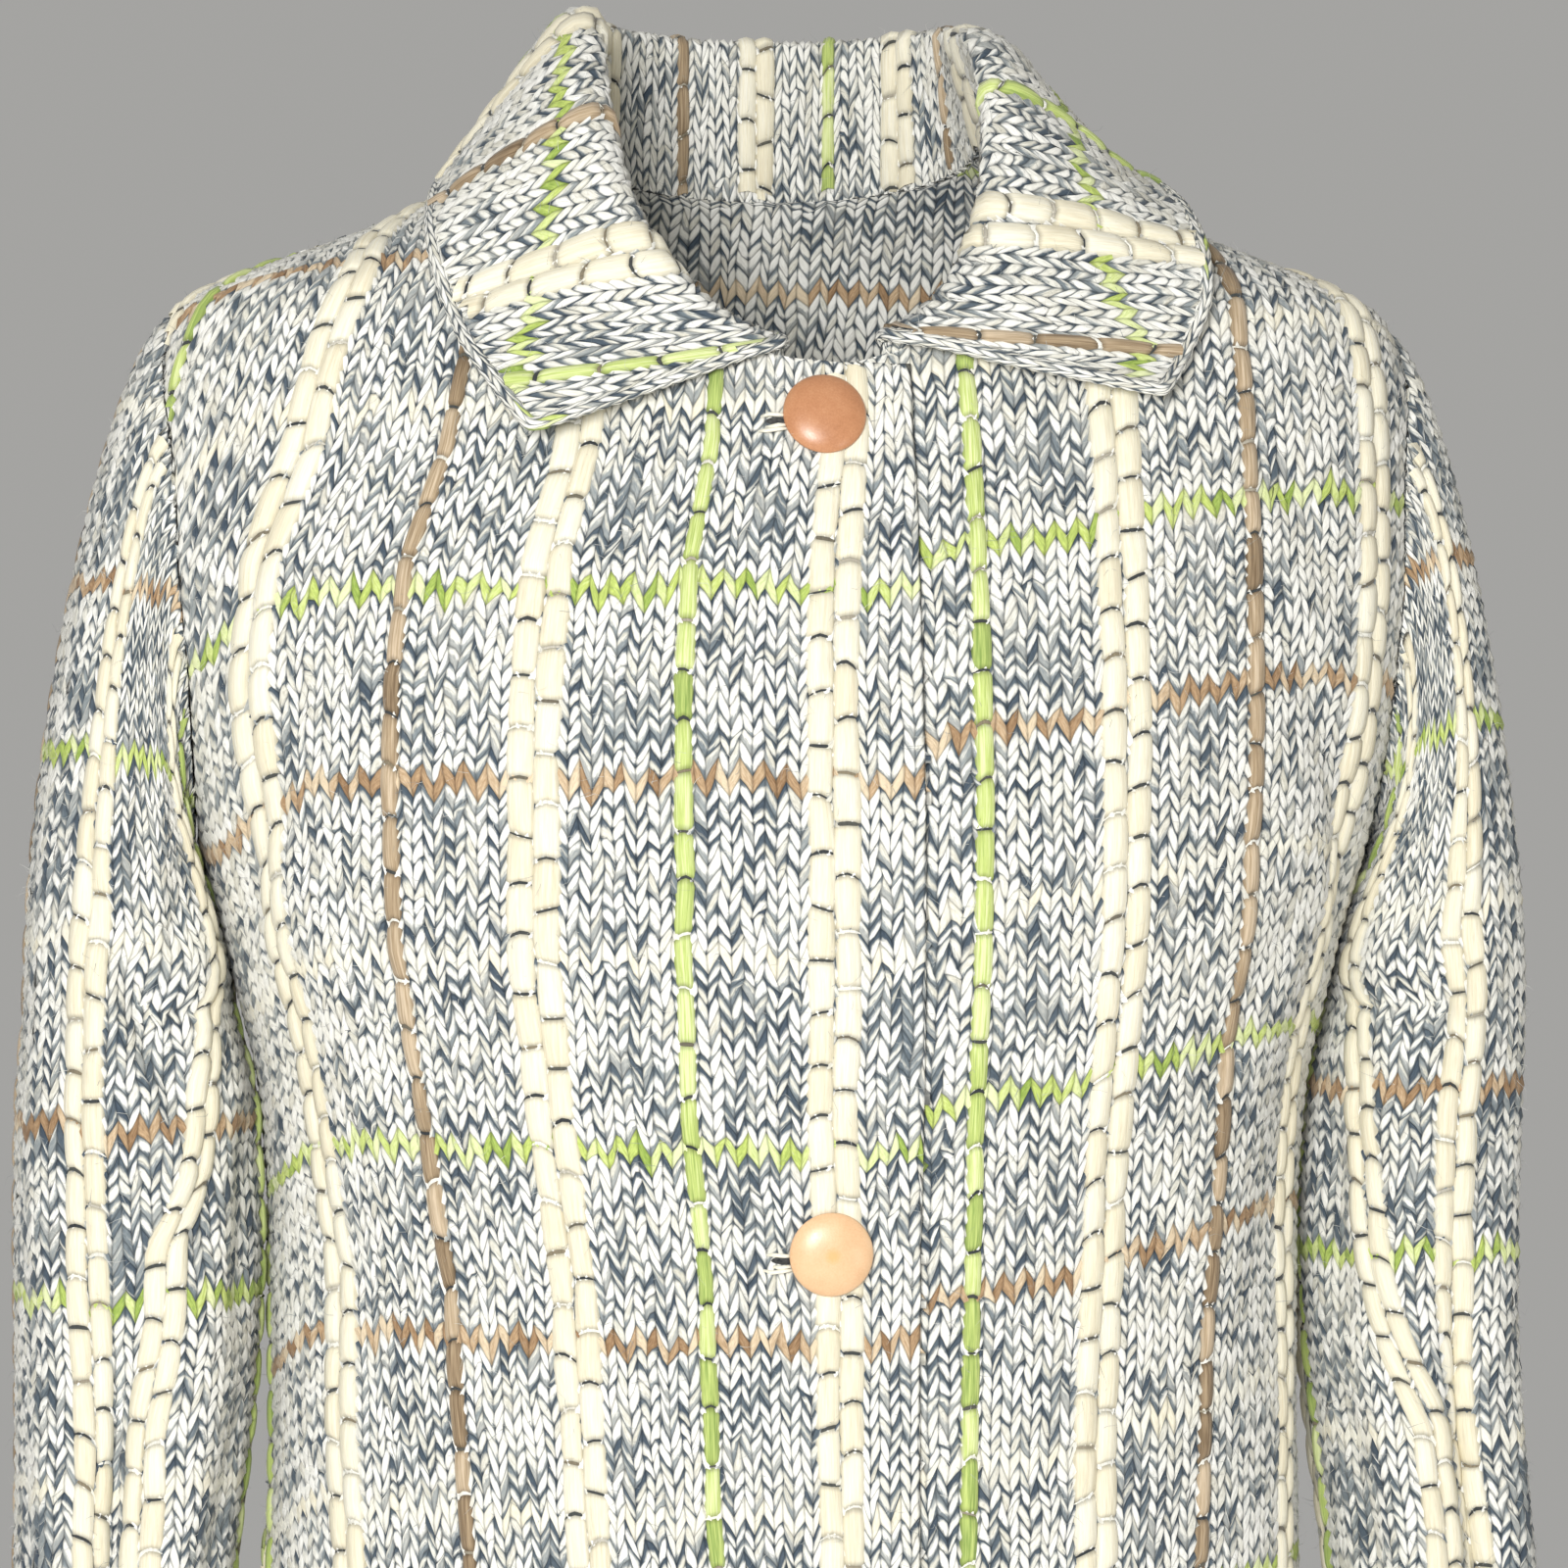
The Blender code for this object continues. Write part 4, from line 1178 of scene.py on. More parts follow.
def marled_knit(name, coloured_rows, share):
    """The knit's paint. The share says how much of it shows the off-white yarn; it is partly painted shade on
    the sleeves and partly painted light on the collar.
    """
    paint = Paint(name)
    u, v = paint.uv("stitch")
    across, leg = paint.math("FRACT", u), paint.math("FLOOR", u * 2.0)
    along = v - abs(across - 0.5) * LEG_RISE
    course, within = paint.math("FLOOR", along), paint.math("FRACT", along)
    up_leg = abs(across - 0.5) * 4.0 - 1.0
    taper = 1.0 - abs(up_leg) ** 3.0 * 0.72
    round_up = hump(within)

    own, other = paint.chance(leg, course, 3.0), paint.chance(leg, course, 8.0)
    runs = paint.noise((u * 0.62, course * 0.34, 1.7))
    wide_runs = paint.noise((u * 0.10, course * 0.13, 6.0), detail=1.0)
    fibre = paint.noise((across * 2.4, within * 2.4 + course * 3.7, leg), 2.6, 3.0, 0.62)

    light = (runs - 0.5) * 2.2 + (own - 0.5) * 0.55 + (wide_runs - 0.5) * 0.8 + share
    middle = (other - 0.5) * 0.55 + 0.5
    wander = (within - middle) + (fibre - 0.5) * 0.46 + up_leg * 0.10
    # Where a leg tapers towards its ends, the slate yarn takes over. This paints shade into the gaps there.
    darkness = paint.step(abs(wander) * 2.0 - light * taper, -0.34, 0.30)
    pale = paint.ramp(own * 0.6 + fibre * 0.5, PALE_YARN)
    dark = paint.ramp(other * 0.75 + fibre * 0.35, DARK_YARN)
    colour = paint.mix(darkness, pale, dark)
    tone = own * 0.95 + (fibre * 0.7 - 0.20)
    for number, shades in coloured_rows:
        after_row = paint.math("FLOORED_MODULO", course - float(number), COURSES_IN_CHECK)
        row_colour = paint.ramp(tone, shades_at((0.12, 0.50, 0.95), shades))
        colour = paint.mix(paint.math("LESS_THAN", after_row, 0.5), colour, row_colour)

    # Painted shade: the colour is darkened towards the legs' ends and in the grooves between the legs, and the
    # fibre's clouds vary it a little.
    ends = paint.step(abs(up_leg), 0.60, 1.0, 1.0, 0.70)
    between = paint.step(round_up * taper, 0.0, 0.55, 0.58, 1.0)
    shade = ends * between * paint.step(fibre, 0.25, 0.75, 0.88, 1.04)
    paint.bump(paint.math("SQRT", round_up) * taper + fibre * 0.35, 0.0009, 0.55)
    return paint.finish(paint.darker(colour, shade), 0.9, sheen=0.12, specular=0.15)


def rows(green, white, brown):
    return ((green, GREENS), (white, (CREAMS[1], OFF_WHITE, CREAMS[2])), (brown, BROWNS))


body_knit = marled_knit("marled_knit_body", rows(5, 16, 26), BODY_SHARE)
sleeve_knit = marled_knit("marled_knit_sleeve", rows(7, 28, 17), SLEEVE_SHARE_PAINTED_DARKER)
collar_knit = marled_knit("marled_knit_collar", ((16, GREENS),), COLLAR_SHARE_PAINTED_LIGHTER)
print("materials:", [m.name for m in bpy.data.materials if m.name.startswith("marled_knit_")])

# %% [markdown]
# ## The five panels and the collar
# Now each panel gets its knit. Its rim is folded in as a hem would be, with a modifier that only
# fills the rim, and a plain inner side closes it from behind.

# %% Knitting the panels
PANELS = {
    "front_right": (body_knit, (0.343, 0.860), 0.258, ["button_top"]),
    "front_left": (body_knit, (0.343, 0.860), 0.258, ["front_right"]),
    "back": (body_knit, (0.622, 0.945), 0.455, ["front_left"]),
    "sleeve_right": (sleeve_knit, (0.460, 0.592), 0.144, ["front_right"]),
    "sleeve_left": (sleeve_knit, (0.460, 0.592), 0.142, ["front_left"]),
    "collar": (collar_knit, (0.668, 0.168), 0.083, ["back"]),
}
SHELLS = {}
for name, (paint, *_) in PANELS.items():
    outer = knit(name + "_knit", CLOTHS[name], paint)
    rim = outer.modifiers.new("rim", "SOLIDIFY")
    rim.thickness, rim.offset = INNER_SIDE - EDGE_ROUND * EDGE_DIP, -1
    rim.use_rim, rim.use_rim_only = True, True
    inner = knit(name + "_inner", CLOTHS[name], paint, fine=False)
    SHELLS[name] = (outer, inner)
    print(name, "faces:", len(outer.data.polygons), "outside and", len(inner.data.polygons), "inside")

# %% [markdown]
# ## The floating ribbons
# The upright lines of the windowpane aren't knitted in. A thick, soft ribbon of yarn lies on the
# knit and is caught down by a thin strand every three rows, so each line is a chain of little
# pillows. Each chain is a narrow strip of grid, domed across and pinched at its catches. No two
# catches are alike: each is shifted, tilted, arched, widened and swayed by seeded chance.

# %% Strips of ribbon
CATCH_ROWS = 3
STATIONS = np.array([0.0, 0.09, 0.26, 0.5, 0.74, 0.91])
PILLOW_ALONG = np.array([0.0, 0.66, 0.94, 1.0, 0.94, 0.66])
ACROSS = np.array([0.0, 0.11, 0.5, 0.89, 1.0])
PILLOW_ACROSS = np.array([0.0, 0.72, 1.0, 0.72, 0.0])
RIBBON_HEIGHT, RIBBON_SINK, CATCH_SINK = 0.0021, 0.0009, 0.0002
chance = np.random.default_rng(11)
Chain = namedtuple("Chain", "centre width phase")
Catches = namedtuple("Catches", "shift tilt arch wide sway")


def chain_span(cloth):
    """The first row, and the number of catches, that reach over a whole panel."""
    low, high = cloth.outline[:, 1].min() / COURSE, cloth.outline[:, 1].max() / COURSE
    return math.floor(low) - 6, int((high - low + 14) / CATCH_ROWS)


def catch_table(chains, count):
    """What is different at each catch of each chain."""
    shape = (len(chains), count + 2)
    return Catches(
        shift=chance.normal(0, 0.10, shape),
        tilt=chance.normal(0, 0.26, shape),
        arch=chance.uniform(-0.05, 0.38, shape),
        wide=chance.uniform(0.86, 1.08, shape),
        sway=chance.normal(0, 0.035, shape),
    )


def ribbon_places(chains, catches, first, index, catch, station, across):
    """Stitch coordinates on a chain: across runs from 0 to 1 over its width."""
    share = STATIONS[station]
    shift, tilt, arch, wide, sway = (
        table[index, catch] * (1 - share) + table[index, catch + 1] * share for table in catches
    )
    centre, width, phase = np.array(chains)[index].T
    pinch = 0.86 + 0.14 * PILLOW_ALONG[station]
    u = centre + sway + (across - 0.5) * width * wide * pinch
    bend = tilt * (across - 0.5) + arch * (1 - (2 * across - 1) ** 2)
    return u, first + phase + CATCH_ROWS * (catch + share) + shift + bend


# %% [markdown]
# Each sleeve is pushed up at the elbow, and the slack takes the cream lines in front of the arm
# towards the body. A **drag** moves the lines that lie between two places across the sleeve, by a
# length that depends on how far up the sleeve they are.

# %% Lines that are dragged
Drag = namedtuple("Drag", "start end by_length")
ELBOW_DRAG = {
    "sleeve_right": (
        Drag(0.077, 0.110, (
            (0.200, 0), (0.257, 0.004), (0.280, 0.016), (0.345, 0.030), (0.420, 0.044), (0.600, 0.044),
        )),
    ),
    "sleeve_left": (
        Drag(0.077, 0.110, (
            (0.187, 0), (0.243, 0.015), (0.280, 0.022), (0.345, 0.036), (0.420, 0.044), (0.600, 0.044),
        )),
        Drag(0.050, 0.077, ((0.050, 0), (0.180, 0.006), (0.300, 0.011), (0.400, 0.009), (0.500, 0))),
    ),
}
DRAG_FADE = 0.003


def drag(panel, places):
    """Moves places on a sleeve by its drags."""
    across, up = places.T.copy()
    for each in ELBOW_DRAG.get(panel, ()):
        taken = ease(across, each.start - DRAG_FADE, each.start + DRAG_FADE)
        taken = taken * (1 - ease(across, each.end - DRAG_FADE, each.end + DRAG_FADE))
        places[:, 0] += taken * np.interp(up, *zip(*each.by_length))


def lay(panel, stitches):
    """The places of some stitch coordinates on a panel, and which of them are inside its seams."""
    places = locate(CLOTHS[panel], *stitches)
    drag(panel, places)
    return places, keep_inside(CLOTHS[panel], places)[0]


# %% [markdown]
# The ribbons of one colour on a panel are one piece, and so are the strands that catch them. A
# strand is a short half round over each pinch, and sinks into the knit at both its ends.

# %% Ribbons and their strands
STRAND_RISE = np.array([-0.0007, 0.0005, 0.0009, 0.0005, -0.0007])
STRAND_RADIUS, STRAND_SINK, STRAND_ROWS = 0.00050, 0.0003, 3


def ribbons(panel, colour, chains, catches, paint):
    """All chains of one colour on a panel."""
    cloth = CLOTHS[panel]
    first, count = chain_span(cloth)
    data, column, row = grid_mesh(len(ACROSS) * len(chains) - 1, len(STATIONS) * count - 1)
    index, side = np.divmod(column, len(ACROSS))
    catch, station = np.divmod(row, len(STATIONS))
    stitches = ribbon_places(chains, catches, first, index, catch, station, ACROSS[side])
    places, kept = lay(panel, stitches)
    plump = PILLOW_ACROSS[side] * PILLOW_ALONG[station]
    out = RIBBON_HEIGHT * plump - RIBBON_SINK * (1 - PILLOW_ACROSS[side]) - CATCH_SINK * (station == 0)
    set_points(data, on_cloth(cloth, places, out))
    set_uv(data, "ribbon", index + ACROSS[side] * 0.999, catch + STATIONS[station])
    keep_faces(data, kept, not facing_out(cloth), index)
    return add_object(f"{panel}_{colour}_ribbons", data, paint)


def catch_strands(panel, colour, chains, catches, paint):
    """All strands over the chains of one colour."""
    cloth = CLOTHS[panel]
    first, count = chain_span(cloth)
    total, corners = len(chains) * count, len(STRAND_RISE)
    data, column, row = grid_mesh(corners * total - 1, STRAND_ROWS)
    each, side = np.divmod(column, corners)
    index, catch = np.divmod(each, count)
    u, v = ribbon_places(chains, catches, first, index, catch, 0 * catch, -0.06 + 1.12 * side / 4)
    turn = (row / STRAND_ROWS - 0.5) * math.pi * 0.95
    thick = STRAND_RADIUS * chance.uniform(0.6, 1.25, total)[each] * (1 - 0.45 * np.abs(side / 2 - 1) ** 3)
    places, kept = lay(panel, (u, v + np.sin(turn) * thick / COURSE * 1.15))
    set_points(data, on_cloth(cloth, places, STRAND_RISE[side] + np.cos(turn) * thick - STRAND_SINK))
    set_uv(data, "ribbon", each * 1.0, side / 4)
    keep_faces(data, kept, not facing_out(cloth), each)
    return add_object(f"{panel}_{colour}_strands", data, paint)


# %% [markdown]
# Ribbon yarn is barely twisted, so it shows long soft streaks. Painted shade darkens each pillow
# towards its edges and where it dives under a catch, so its top reads lighter. Most strands are
# dark, and some are cream.

# %% Ribbon and strand materials
STRAND_YARN = (
    (0.0, (0.03, 0.035, 0.04)), (0.52, (0.07, 0.075, 0.07)), (0.70, (0.25, 0.21, 0.14)), (0.88, OFF_WHITE),
)
RIBBON_GREENS = ((0.25, 0.36, 0.09), (0.57, 0.68, 0.21), (0.83, 0.89, 0.48))
RIBBON_BROWNS = ((0.19, 0.13, 0.075), (0.43, 0.32, 0.20), (0.68, 0.55, 0.39))


def ribbon_yarn(name, shades, variety, streaks):
    """Variety is how much one pillow differs from the next, and streaks how strong its fibres show."""
    paint = Paint(name)
    u, v = paint.uv("ribbon")
    streak = paint.noise((u * 9.0, v * 0.8, 0.0), detail=3.0, rough=0.6)
    fine = paint.noise((u * 40.0, v * 3.0, 4.0))
    pillow = paint.chance(paint.math("FLOOR", u), paint.math("FLOOR", v), 5.0)
    tone = (streak - 0.5) * streaks + ((pillow - 0.5) * variety + 0.52)
    colour = paint.ramp(tone, shades_at((0.12, 0.50, 0.85), shades))
    # Painted shade: each pillow is darkened towards its ends, where it dives under a catch, and towards its
    # edges.
    end, edge = hump(paint.math("FRACT", v)), hump(paint.math("FRACT", u))
    shade = paint.step(end, 0.0, 0.50, 0.46, 1.0) * paint.step(edge, 0.0, 0.55, 0.60, 1.0)
    shade = shade * paint.step(fine, 0.2, 0.8, 0.88, 1.05)
    paint.bump(streak * 0.6 + fine * 0.4, 0.0005, 0.7)
    return paint.finish(paint.darker(colour, shade), 0.82, sheen=0.15, specular=0.2)


def strand_yarn():
    paint = Paint("catch_strand")
    u, v = paint.uv("ribbon")
    colour = paint.ramp(paint.chance(paint.math("ROUND", u), 2.0, 1.0), STRAND_YARN)
    fine = paint.noise((u * 7.0, v * 12.0, 0.0))
    paint.bump(fine, 0.0003, 0.6)
    return paint.finish(paint.darker(colour, paint.step(fine, 0.2, 0.8, 0.75, 1.15)), 0.85, sheen=0.2)


RIBBON_YARNS = {
    "cream": ribbon_yarn("cream_ribbon", CREAMS, 0.26, 1.0),
    "green": ribbon_yarn("green_ribbon", RIBBON_GREENS, 0.45, 1.4),
    "brown": ribbon_yarn("brown_ribbon", RIBBON_BROWNS, 0.50, 1.4),
}
strand_paint = strand_yarn()
print("ribbon yarns:", list(RIBBON_YARNS))

# %% [markdown]
# The fronts' lines lie 50 to 70 mm apart, counted in stitches from the centre line: cream, green,
# cream, brown and so on. The back repeats them from its own centre. On a sleeve two cream lines lie
# close together in front. On the collar the lines run from the neck over the fold to the edge. The
# cream lines are double, with the catches of the two chains out of step.

# %% Laying the lines
LINE_WIDTH = {"cream": 1.32, "green": 0.90, "brown": 0.88}
HALF_SPREAD = 0.58
SLEEVE_LINE = 0.86  # the lines on a sleeve are this much narrower
FRONT_LINES = (("green", 6.5), ("cream", 13), ("brown", 19.5), ("cream", 27), ("green", 36.5), ("cream", 40))
BACK_LINES = (("cream", 0),) + FRONT_LINES + tuple((colour, -place) for colour, place in FRONT_LINES)
SLEEVE_LINES = (
    ("cream", 8.4), ("cream", 11.6), ("green", 20.5),
    ("brown", -1.5), ("cream", -7.5), ("green", -12.5), ("cream", -19.0),
)
COLLAR_METRES = (
    ("green", 0.016), ("cream", 0.062), ("brown", 0.112), ("cream", 0.160), ("green", 0.208),
    ("cream", 0.255), ("brown", 0.302), ("cream", 0.341), ("green", 0.378), ("cream", 0.414),
    ("brown", 0.450), ("cream", 0.499), ("green", 0.549), ("cream", 0.600), ("brown", 0.648),
)
LINES = {
    "front_right": (("cream", 0),) + FRONT_LINES,
    "front_left": FRONT_LINES,
    "back": BACK_LINES,
    "sleeve_right": SLEEVE_LINES,
    "sleeve_left": SLEEVE_LINES,
    "collar": tuple((colour, metres / STITCH) for colour, metres in COLLAR_METRES),
}
EXTRAS = {name: [] for name in CLOTHS}
for name, lines in LINES.items():
    size = SLEEVE_LINE if name.startswith("sleeve") else 1.0
    for colour, width in LINE_WIDTH.items():
        offsets = (-HALF_SPREAD, HALF_SPREAD) if colour == "cream" else (0.0,)
        chains = []
        for place in [at for kind, at in lines if kind == colour]:
            phase = chance.uniform(0, CATCH_ROWS)
            for k, offset in enumerate(offsets):
                chains.append(Chain(place + offset * size, width * size, phase + 0.5 * k * CATCH_ROWS))
        catches = catch_table(chains, chain_span(CLOTHS[name])[1])
        for make, paint in ((ribbons, RIBBON_YARNS[colour]), (catch_strands, strand_paint)):
            EXTRAS[name].append(make(name, colour, chains, catches, paint))
    print(name, "ribbon and strand faces:", sum(len(piece.data.polygons) for piece in EXTRAS[name]))

# %% [markdown]
# ## The nap
# Mohair is brushed until a haze of fine hairs stands over the stitches. It softens the knit, and
# against the light it shows as a pale fringe round the sleeves and collar. Each hair is a blade of
# two small faces, bent once, that tapers towards its tip. They are scattered with a fixed seed.

# %% Hairs
HAIR_WIDTH = 0.00016
HAIRS_PER_AREA = 26000
HAIR_SHADES = ((0.0, (0.16, 0.19, 0.21)), (0.45, (0.40, 0.41, 0.39)), (1.0, (0.75, 0.74, 0.68)))


def nap_paint():
    """Each hair has one tone, between slate and pale."""
    paint = Paint("mohair_nap")
    number, _ = paint.uv("hair")
    colour = paint.ramp(paint.chance(paint.math("ROUND", number), 1.0, 2.0), HAIR_SHADES)
    return paint.finish(colour, 0.8, sheen=0.15, specular=0.15)


def hairs(name, cloth, paint, seed):
    """The hairs of one panel, as one piece."""
    own = np.random.default_rng(seed)
    low, high = cloth.outline.min(axis=0), cloth.outline.max(axis=0)
    roots = low + own.uniform(0, 1, (int(HAIRS_PER_AREA * (high - low).prod()), 2)) * (high - low)
    roots = roots[inside(roots, cloth.outline)]
    count = len(roots)
    length = own.gamma(4.0, 0.00115, count).clip(0.002, 0.011)
    heading = own.uniform(0, 2 * math.pi, count)
    rise = own.uniform(0.15, 0.75, count)
    bend = own.normal(0, 0.9, count)
    data, column, row = grid_mesh(2 * count - 1, 2)
    each, side = np.divmod(column, 2)
    share = row / 2
    turn = heading[each] + bend[each] * share
    reach = length[each] * share * np.sqrt(1 - rise[each] ** 2)
    spots = roots[each] + reach[:, None] * np.stack([np.cos(turn), np.sin(turn)], axis=1)
    width = HAIR_WIDTH * (1 - 0.75 * share) * (side - 0.5)
    spots = spots + width[:, None] * np.stack([-np.sin(turn), np.cos(turn)], axis=1)
    out = 0.0002 + length[each] * rise[each] * share * (1 - 0.25 * share)
    set_points(data, on_cloth(cloth, np.clip(spots, low, high), out))
    set_uv(data, "hair", each * 1.0, share)
    keep_faces(data, np.ones(len(each), bool), False, each)
    return add_object(name, data, paint)


nap = nap_paint()
for seed, (name, cloth) in enumerate(CLOTHS.items()):
    piece = hairs(name + "_nap", cloth, nap, 40 + seed)
    EXTRAS[name].append(piece)
    print(name, "hairs:", len(piece.data.polygons) // 2)

# %% [markdown]
# ## The collar's edge
# The collar ends in a rolled, crocheted edge. It is a soft tube that follows the front end, the
# outer edge and the other front end. We take the path from the collar's chart, wrap a grid round
# it, and swell it a little at each loop of the crochet.

# %% A rolled edge
EDGE_RADIUS = 0.0024
EDGE_STEP = 0.0012
EDGE_SIDES = 10
EDGE_LOOP = 0.0055


def unit(vectors):
    return vectors / np.linalg.norm(vectors, axis=1, keepdims=True)


def rolled_edge():
    points, normals = collar.points, collar.normals
    keep = np.linalg.norm(points[:, 0] - points[0, 0], axis=1) > 0.004
    path = np.concatenate([points[keep, 0], points[-1, 1:-1], points[keep, -1][::-1]])
    out = np.concatenate([normals[keep, 0], normals[-1, 1:-1], normals[keep, -1][::-1]])
    run = lengths_along(path)
    count = int(run[-1] / EDGE_STEP)
    at = np.linspace(0, run[-1], count + 1)
    line = read_path(at, run, path)
    for _ in range(6):
        line[1:-1] = (line[:-2] + line[1:-1] * 2 + line[2:]) / 4
    up = unit(read_path(at, run, out))
    side = unit(np.cross(unit(np.gradient(line, axis=0)), up))
    data, k, row = grid_mesh(count, EDGE_SIDES)
    turn = row / EDGE_SIDES * 2 * math.pi
    swell = 1 + 0.20 * np.abs(np.sin(math.pi * at[k] / EDGE_LOOP + turn * 0.5)) - 0.08
    swell = swell * np.clip(np.minimum(at[k], run[-1] - at[k]) / 0.003, 0.05, 1)
    around = np.cos(turn)[:, None] * up[k] * 0.92 + np.sin(turn)[:, None] * side[k] * 1.05
    set_points(data, line[k] - up[k] * 0.0011 + around * (EDGE_RADIUS * swell)[:, None])
    set_uv(data, "stitch", row / EDGE_SIDES * 4, at[k] / COURSE * 0.9 + row / EDGE_SIDES * 2)
    mesh = bmesh.new()
    mesh.from_mesh(data)
    bmesh.ops.remove_doubles(mesh, verts=mesh.verts, dist=1e-6)
    bmesh.ops.recalc_face_normals(mesh, faces=mesh.faces)
    mesh.to_mesh(data)
    mesh.free()
    return add_object("collar_rolled_edge", data, collar_knit)


EXTRAS["collar"].append(rolled_edge())
print("rolled edge faces:", len(EXTRAS["collar"][-1].data.polygons))

# %% [markdown]
# ## The buttons
# The buttons are smooth, slightly domed discs with a satin shine, as if covered in leather. Half of
# the profile is drawn as a line, spun round the axis, leaned with the cloth and moved to its place.

# %% Turning a button
BUTTON_RADIUS = 0.0143
BUTTON_HEIGHT = 0.0062
SHANK_RADIUS = 0.0045
Button = namedtuple("Button", "name height clear")
BUTTONS = (
    Button("button_top", -0.107, 0.0004),
    Button("button_middle", -0.389, 0.0011),
    Button("button_bottom", -0.671, 0.0006),
)
BUTTON_PROFILE = (
    (0.0, BUTTON_HEIGHT), (0.0030, 0.00612), (0.0062, 0.00580), (0.0092, 0.00515), (0.0116, 0.00425),
    (0.0131, 0.00335), (0.0140, 0.00260), (BUTTON_RADIUS, 0.00205), (0.0140, 0.00165), (0.0130, 0.00150),
    (0.0110, 0.00170), (SHANK_RADIUS, 0.00175), (SHANK_RADIUS * 0.95, 0.0001), (0.0, 0.0),
)


def button_frame(height, clear):
    """Where a button sits on the right front, and how it leans with the cloth."""
    place, normal = on_plain_body("front", 0.0, height)
    out = float(fold_height(BODY_FOLDS["front"], 0.0, height)) + lap_lift(0.0) + clear
    return Vector(place + out * normal), Matrix.Rotation(math.atan2(-normal[1], normal[2]), 3, "X")


def set_down(mesh, name, place, lean):
    """Leans a small closed mesh with the cloth, moves it to its place and makes it into data."""
    bmesh.ops.recalc_face_normals(mesh, faces=mesh.faces)
    bmesh.ops.rotate(mesh, verts=mesh.verts, cent=(0, 0, 0), matrix=lean)
    bmesh.ops.translate(mesh, verts=mesh.verts, vec=place)
    return to_data(name, mesh)


def turned_button(button, paint):
    mesh = bmesh.new()
    line = [mesh.verts.new((r, 0, z)) for r, z in BUTTON_PROFILE]
    geom = line + [mesh.edges.new(pair) for pair in zip(line, line[1:])]
    turn = {"cent": (0, 0, 0), "axis": (0, 0, 1), "angle": 2 * math.pi}
    bmesh.ops.spin(mesh, geom=geom, steps=48, use_merge=True, **turn)
    bmesh.ops.remove_doubles(mesh, verts=mesh.verts, dist=1e-6)
    data = set_down(mesh, button.name, *button_frame(button.height, button.clear))
    return add_object(button.name + "_turned", data, paint)


# %% [markdown]
# The upper button is a warm salmon brown. The others are a paler tan, with a small darker spot in
# the middle. Soft clouds and fine pores break up the colour and the shine.

# %% The buttons' leather
SALMON = ((0.40, 0.165, 0.072), (0.54, 0.245, 0.115), (0.65, 0.34, 0.18))
TAN = ((0.72, 0.42, 0.22), (0.82, 0.52, 0.29), (0.88, 0.60, 0.36))
SPOT = (0.86, 0.42, 0.12)


def button_leather(name, shades, spot):
    """Satin leather, with a darker spot at a place if one is given."""
    paint = Paint(name)
    place = paint.on_object()
    cloud, pores = paint.noise(place, 120.0), paint.noise(place, 1500.0, rough=0.6)
    tone = (cloud - 0.5) * 0.8 + ((pores - 0.5) * 0.6 + 0.5)
    colour = paint.ramp(tone, shades_at((0.1, 0.5, 0.9), shades))
    if spot:
        from_spot = {"Vector": place, "Location": tuple(-c for c in spot)}
        centred = paint.node("Mapping", from_spot, vector_type="POINT")
        away = paint.node("VectorMath", {0: centred}, "Value", operation="LENGTH")
        colour = paint.mix(paint.step(away + pores * 0.001, 0.0012, 0.0042, 0.55, 0.0), colour, SPOT)
    paint.bump(pores * 0.5 + cloud, 0.0003, 0.35)
    paint.surface["Coat Weight"].default_value = 0.25
    paint.surface["Coat Roughness"].default_value = 0.28
    return paint.finish(colour, paint.step(pores, 0.3, 0.7, 0.30, 0.42), specular=0.5)


TURNED = {}
for button in BUTTONS:
    if button.name == "button_top":
        leather = button_leather("salmon_leather", SALMON, None)
    else:
        place, lean = button_frame(button.height, button.clear)
        leather = button_leather(button.name + "_leather", TAN, place + lean @ Vector((0, 0, BUTTON_HEIGHT)))
    TURNED[button.name] = turned_button(button, leather)
    print(button.name, "faces:", len(TURNED[button.name].data.polygons))

# %% [markdown]
# Each buttonhole runs sideways under its button, and its outer end shows as a small dark slot
# beside the button, bound with three pale threads. The slot is a flattened, near-black ball, half
# sunk into the cloth, that paints the shade inside the buttonhole's opening, and the threads are
# thin bent rods.

# %% Buttonhole ends
SLOT_HALF_SIZE = (0.0050, 0.0014, 0.0011)
SLOT_PLACE = (-0.0152, -0.0022, 0.0007)
THREAD_RADIUS = 0.00075
Thread = namedtuple("Thread", "above_slot reach")
THREADS = (Thread(0.0018, 0.0), Thread(-0.0020, 0.0015), Thread(-0.0034, -0.0010))
Bend = namedtuple("Bend", "x reaches spread height")
THREAD_BENDS = (
    Bend(-0.0215, 1, 1.00, 0.0),
    Bend(-0.0190, 1, 1.15, 0.0019),
    Bend(-0.0160, 0, 1.00, 0.0023),
    Bend(-0.0128, 0, 0.90, 0.0019),
)


def plain_paint(name, low, high, scale, rough):
    """A paint that only varies between two shades."""
    paint = Paint(name)
    grain = paint.noise(paint.on_object(), scale, 3.0)
    paint.bump(grain, 0.0003, 0.6)
    return paint.finish(paint.ramp(grain, [(0.3, low), (0.7, high)]), rough, sheen=0.2)


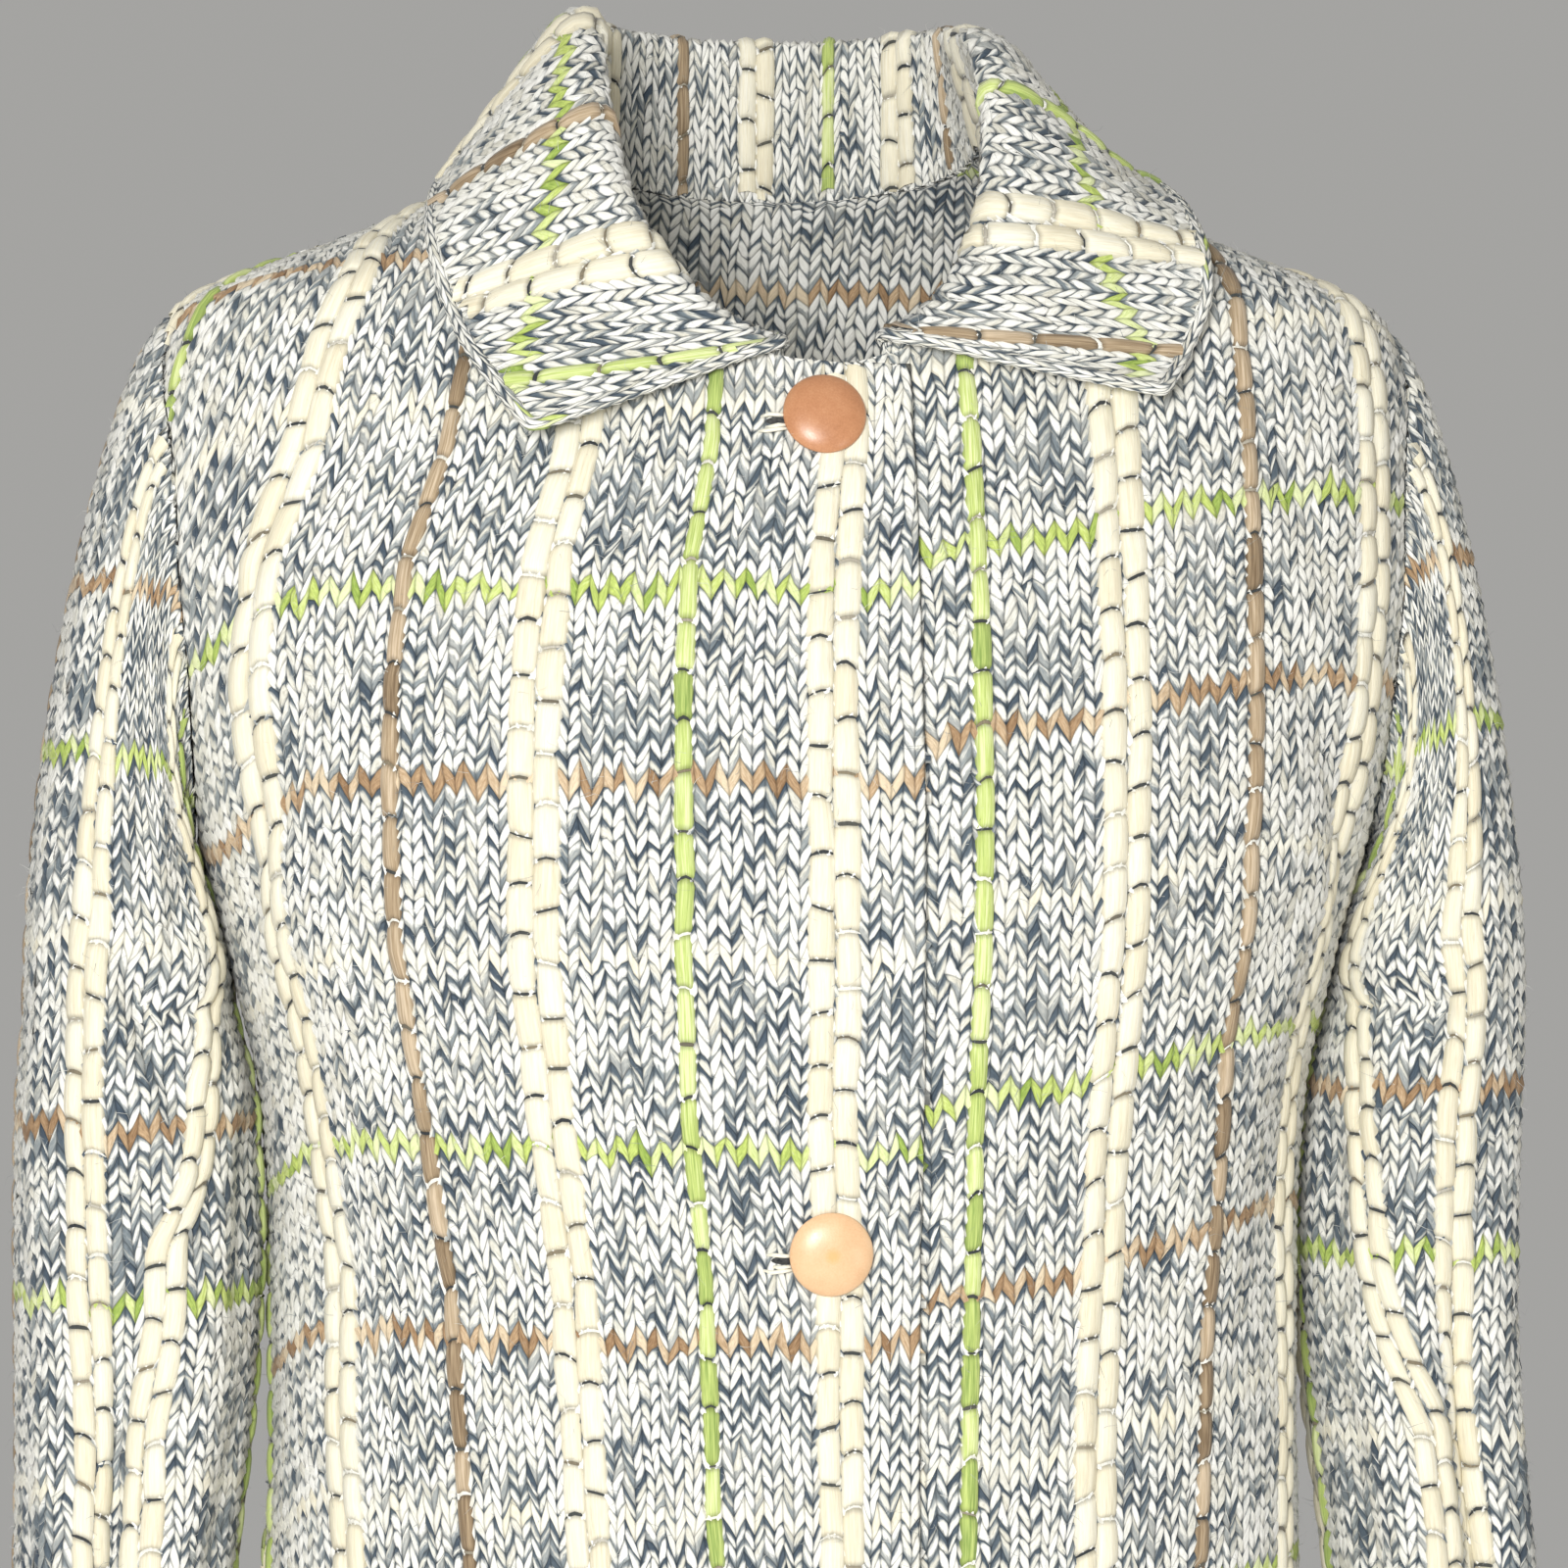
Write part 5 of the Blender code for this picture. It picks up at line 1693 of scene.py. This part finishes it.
def bent_rod(mesh, points, radius):
    """A thin rod through a few points, made by sliding a small circle along them."""
    points = [Vector(p) for p in points]
    last = len(points) - 1
    rings = []
    for k, point in enumerate(points):
        ahead = points[min(k + 1, last)] - points[max(k - 1, 0)]
        turn = ahead.to_track_quat("Z", "Y").to_matrix()
        made = bmesh.ops.create_circle(mesh, segments=6, radius=radius * (0.6 if k in (0, last) else 1))
        bmesh.ops.rotate(mesh, verts=made["verts"], cent=(0, 0, 0), matrix=turn)
        bmesh.ops.translate(mesh, verts=made["verts"], vec=point)
        rings.append(list({edge for v in made["verts"] for edge in v.link_edges}))
    for first, second in zip(rings, rings[1:]):
        bmesh.ops.bridge_loops(mesh, edges=first + second)
    bmesh.ops.holes_fill(mesh, edges=[edge for edge in mesh.edges if edge.is_boundary])


def buttonhole(button):
    """The slot and the threads beside one button."""
    slot, threads = bmesh.new(), bmesh.new()
    bmesh.ops.create_uvsphere(slot, u_segments=16, v_segments=10, radius=1.0)
    bmesh.ops.scale(slot, verts=slot.verts, vec=SLOT_HALF_SIZE)
    bmesh.ops.translate(slot, verts=slot.verts, vec=SLOT_PLACE)
    for thread in THREADS:
        line = [
            (b.x + b.reaches * thread.reach, thread.above_slot * b.spread + SLOT_PLACE[1], b.height)
            for b in THREAD_BENDS
        ]
        bent_rod(threads, line, THREAD_RADIUS)
    frame_here = button_frame(button.height, 0.0)
    return [
        add_object(f"{button.name}_{part}", set_down(mesh, part, *frame_here), paint)
        for part, mesh, paint in (("slot", slot, hole_shade_paint), ("threads", threads, thread_paint))
    ]


# The slot's near-black colour is painted shade, for the shade inside the opening.
hole_shade_paint = plain_paint("buttonhole_dark", (0.02, 0.022, 0.025), (0.09, 0.09, 0.085), 900.0, 0.95)
thread_paint = plain_paint("buttonhole_thread", CREAMS[1], OFF_WHITE, 1400.0, 0.8)
HOLES = {button.name: buttonhole(button) for button in BUTTONS}
print("buttonhole pieces:", [piece.name for made in HOLES.values() for piece in made])

# %% [markdown]
# ## Joining the looks to the model
# The knit shells stand for the plain model's panels, and the turned buttons for its buttons, so
# the plain parts are hidden. The shells, and the ribbons, strands, hairs and threads that ride with
# them, are all attached to one root.

# %% Hiding the plain parts
for name, (_, flat, area, neighbours) in PANELS.items():
    outer, inner = SHELLS[name]
    slot = "marled_collar_knit" if name == "collar" else "marled_knit"
    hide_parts(name)
    for piece in (outer, inner, *EXTRAS[name]):
        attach(piece, "root")
for name, piece in TURNED.items():
    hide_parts(name)
    for each in (piece, *HOLES[name]):
        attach(each, "root")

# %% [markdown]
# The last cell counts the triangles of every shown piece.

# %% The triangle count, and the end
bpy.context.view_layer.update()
triangles = sum(len(p.vertices) - 2 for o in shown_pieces() if o.type == "MESH" for p in o.data.polygons)
print("triangles in all:", triangles)
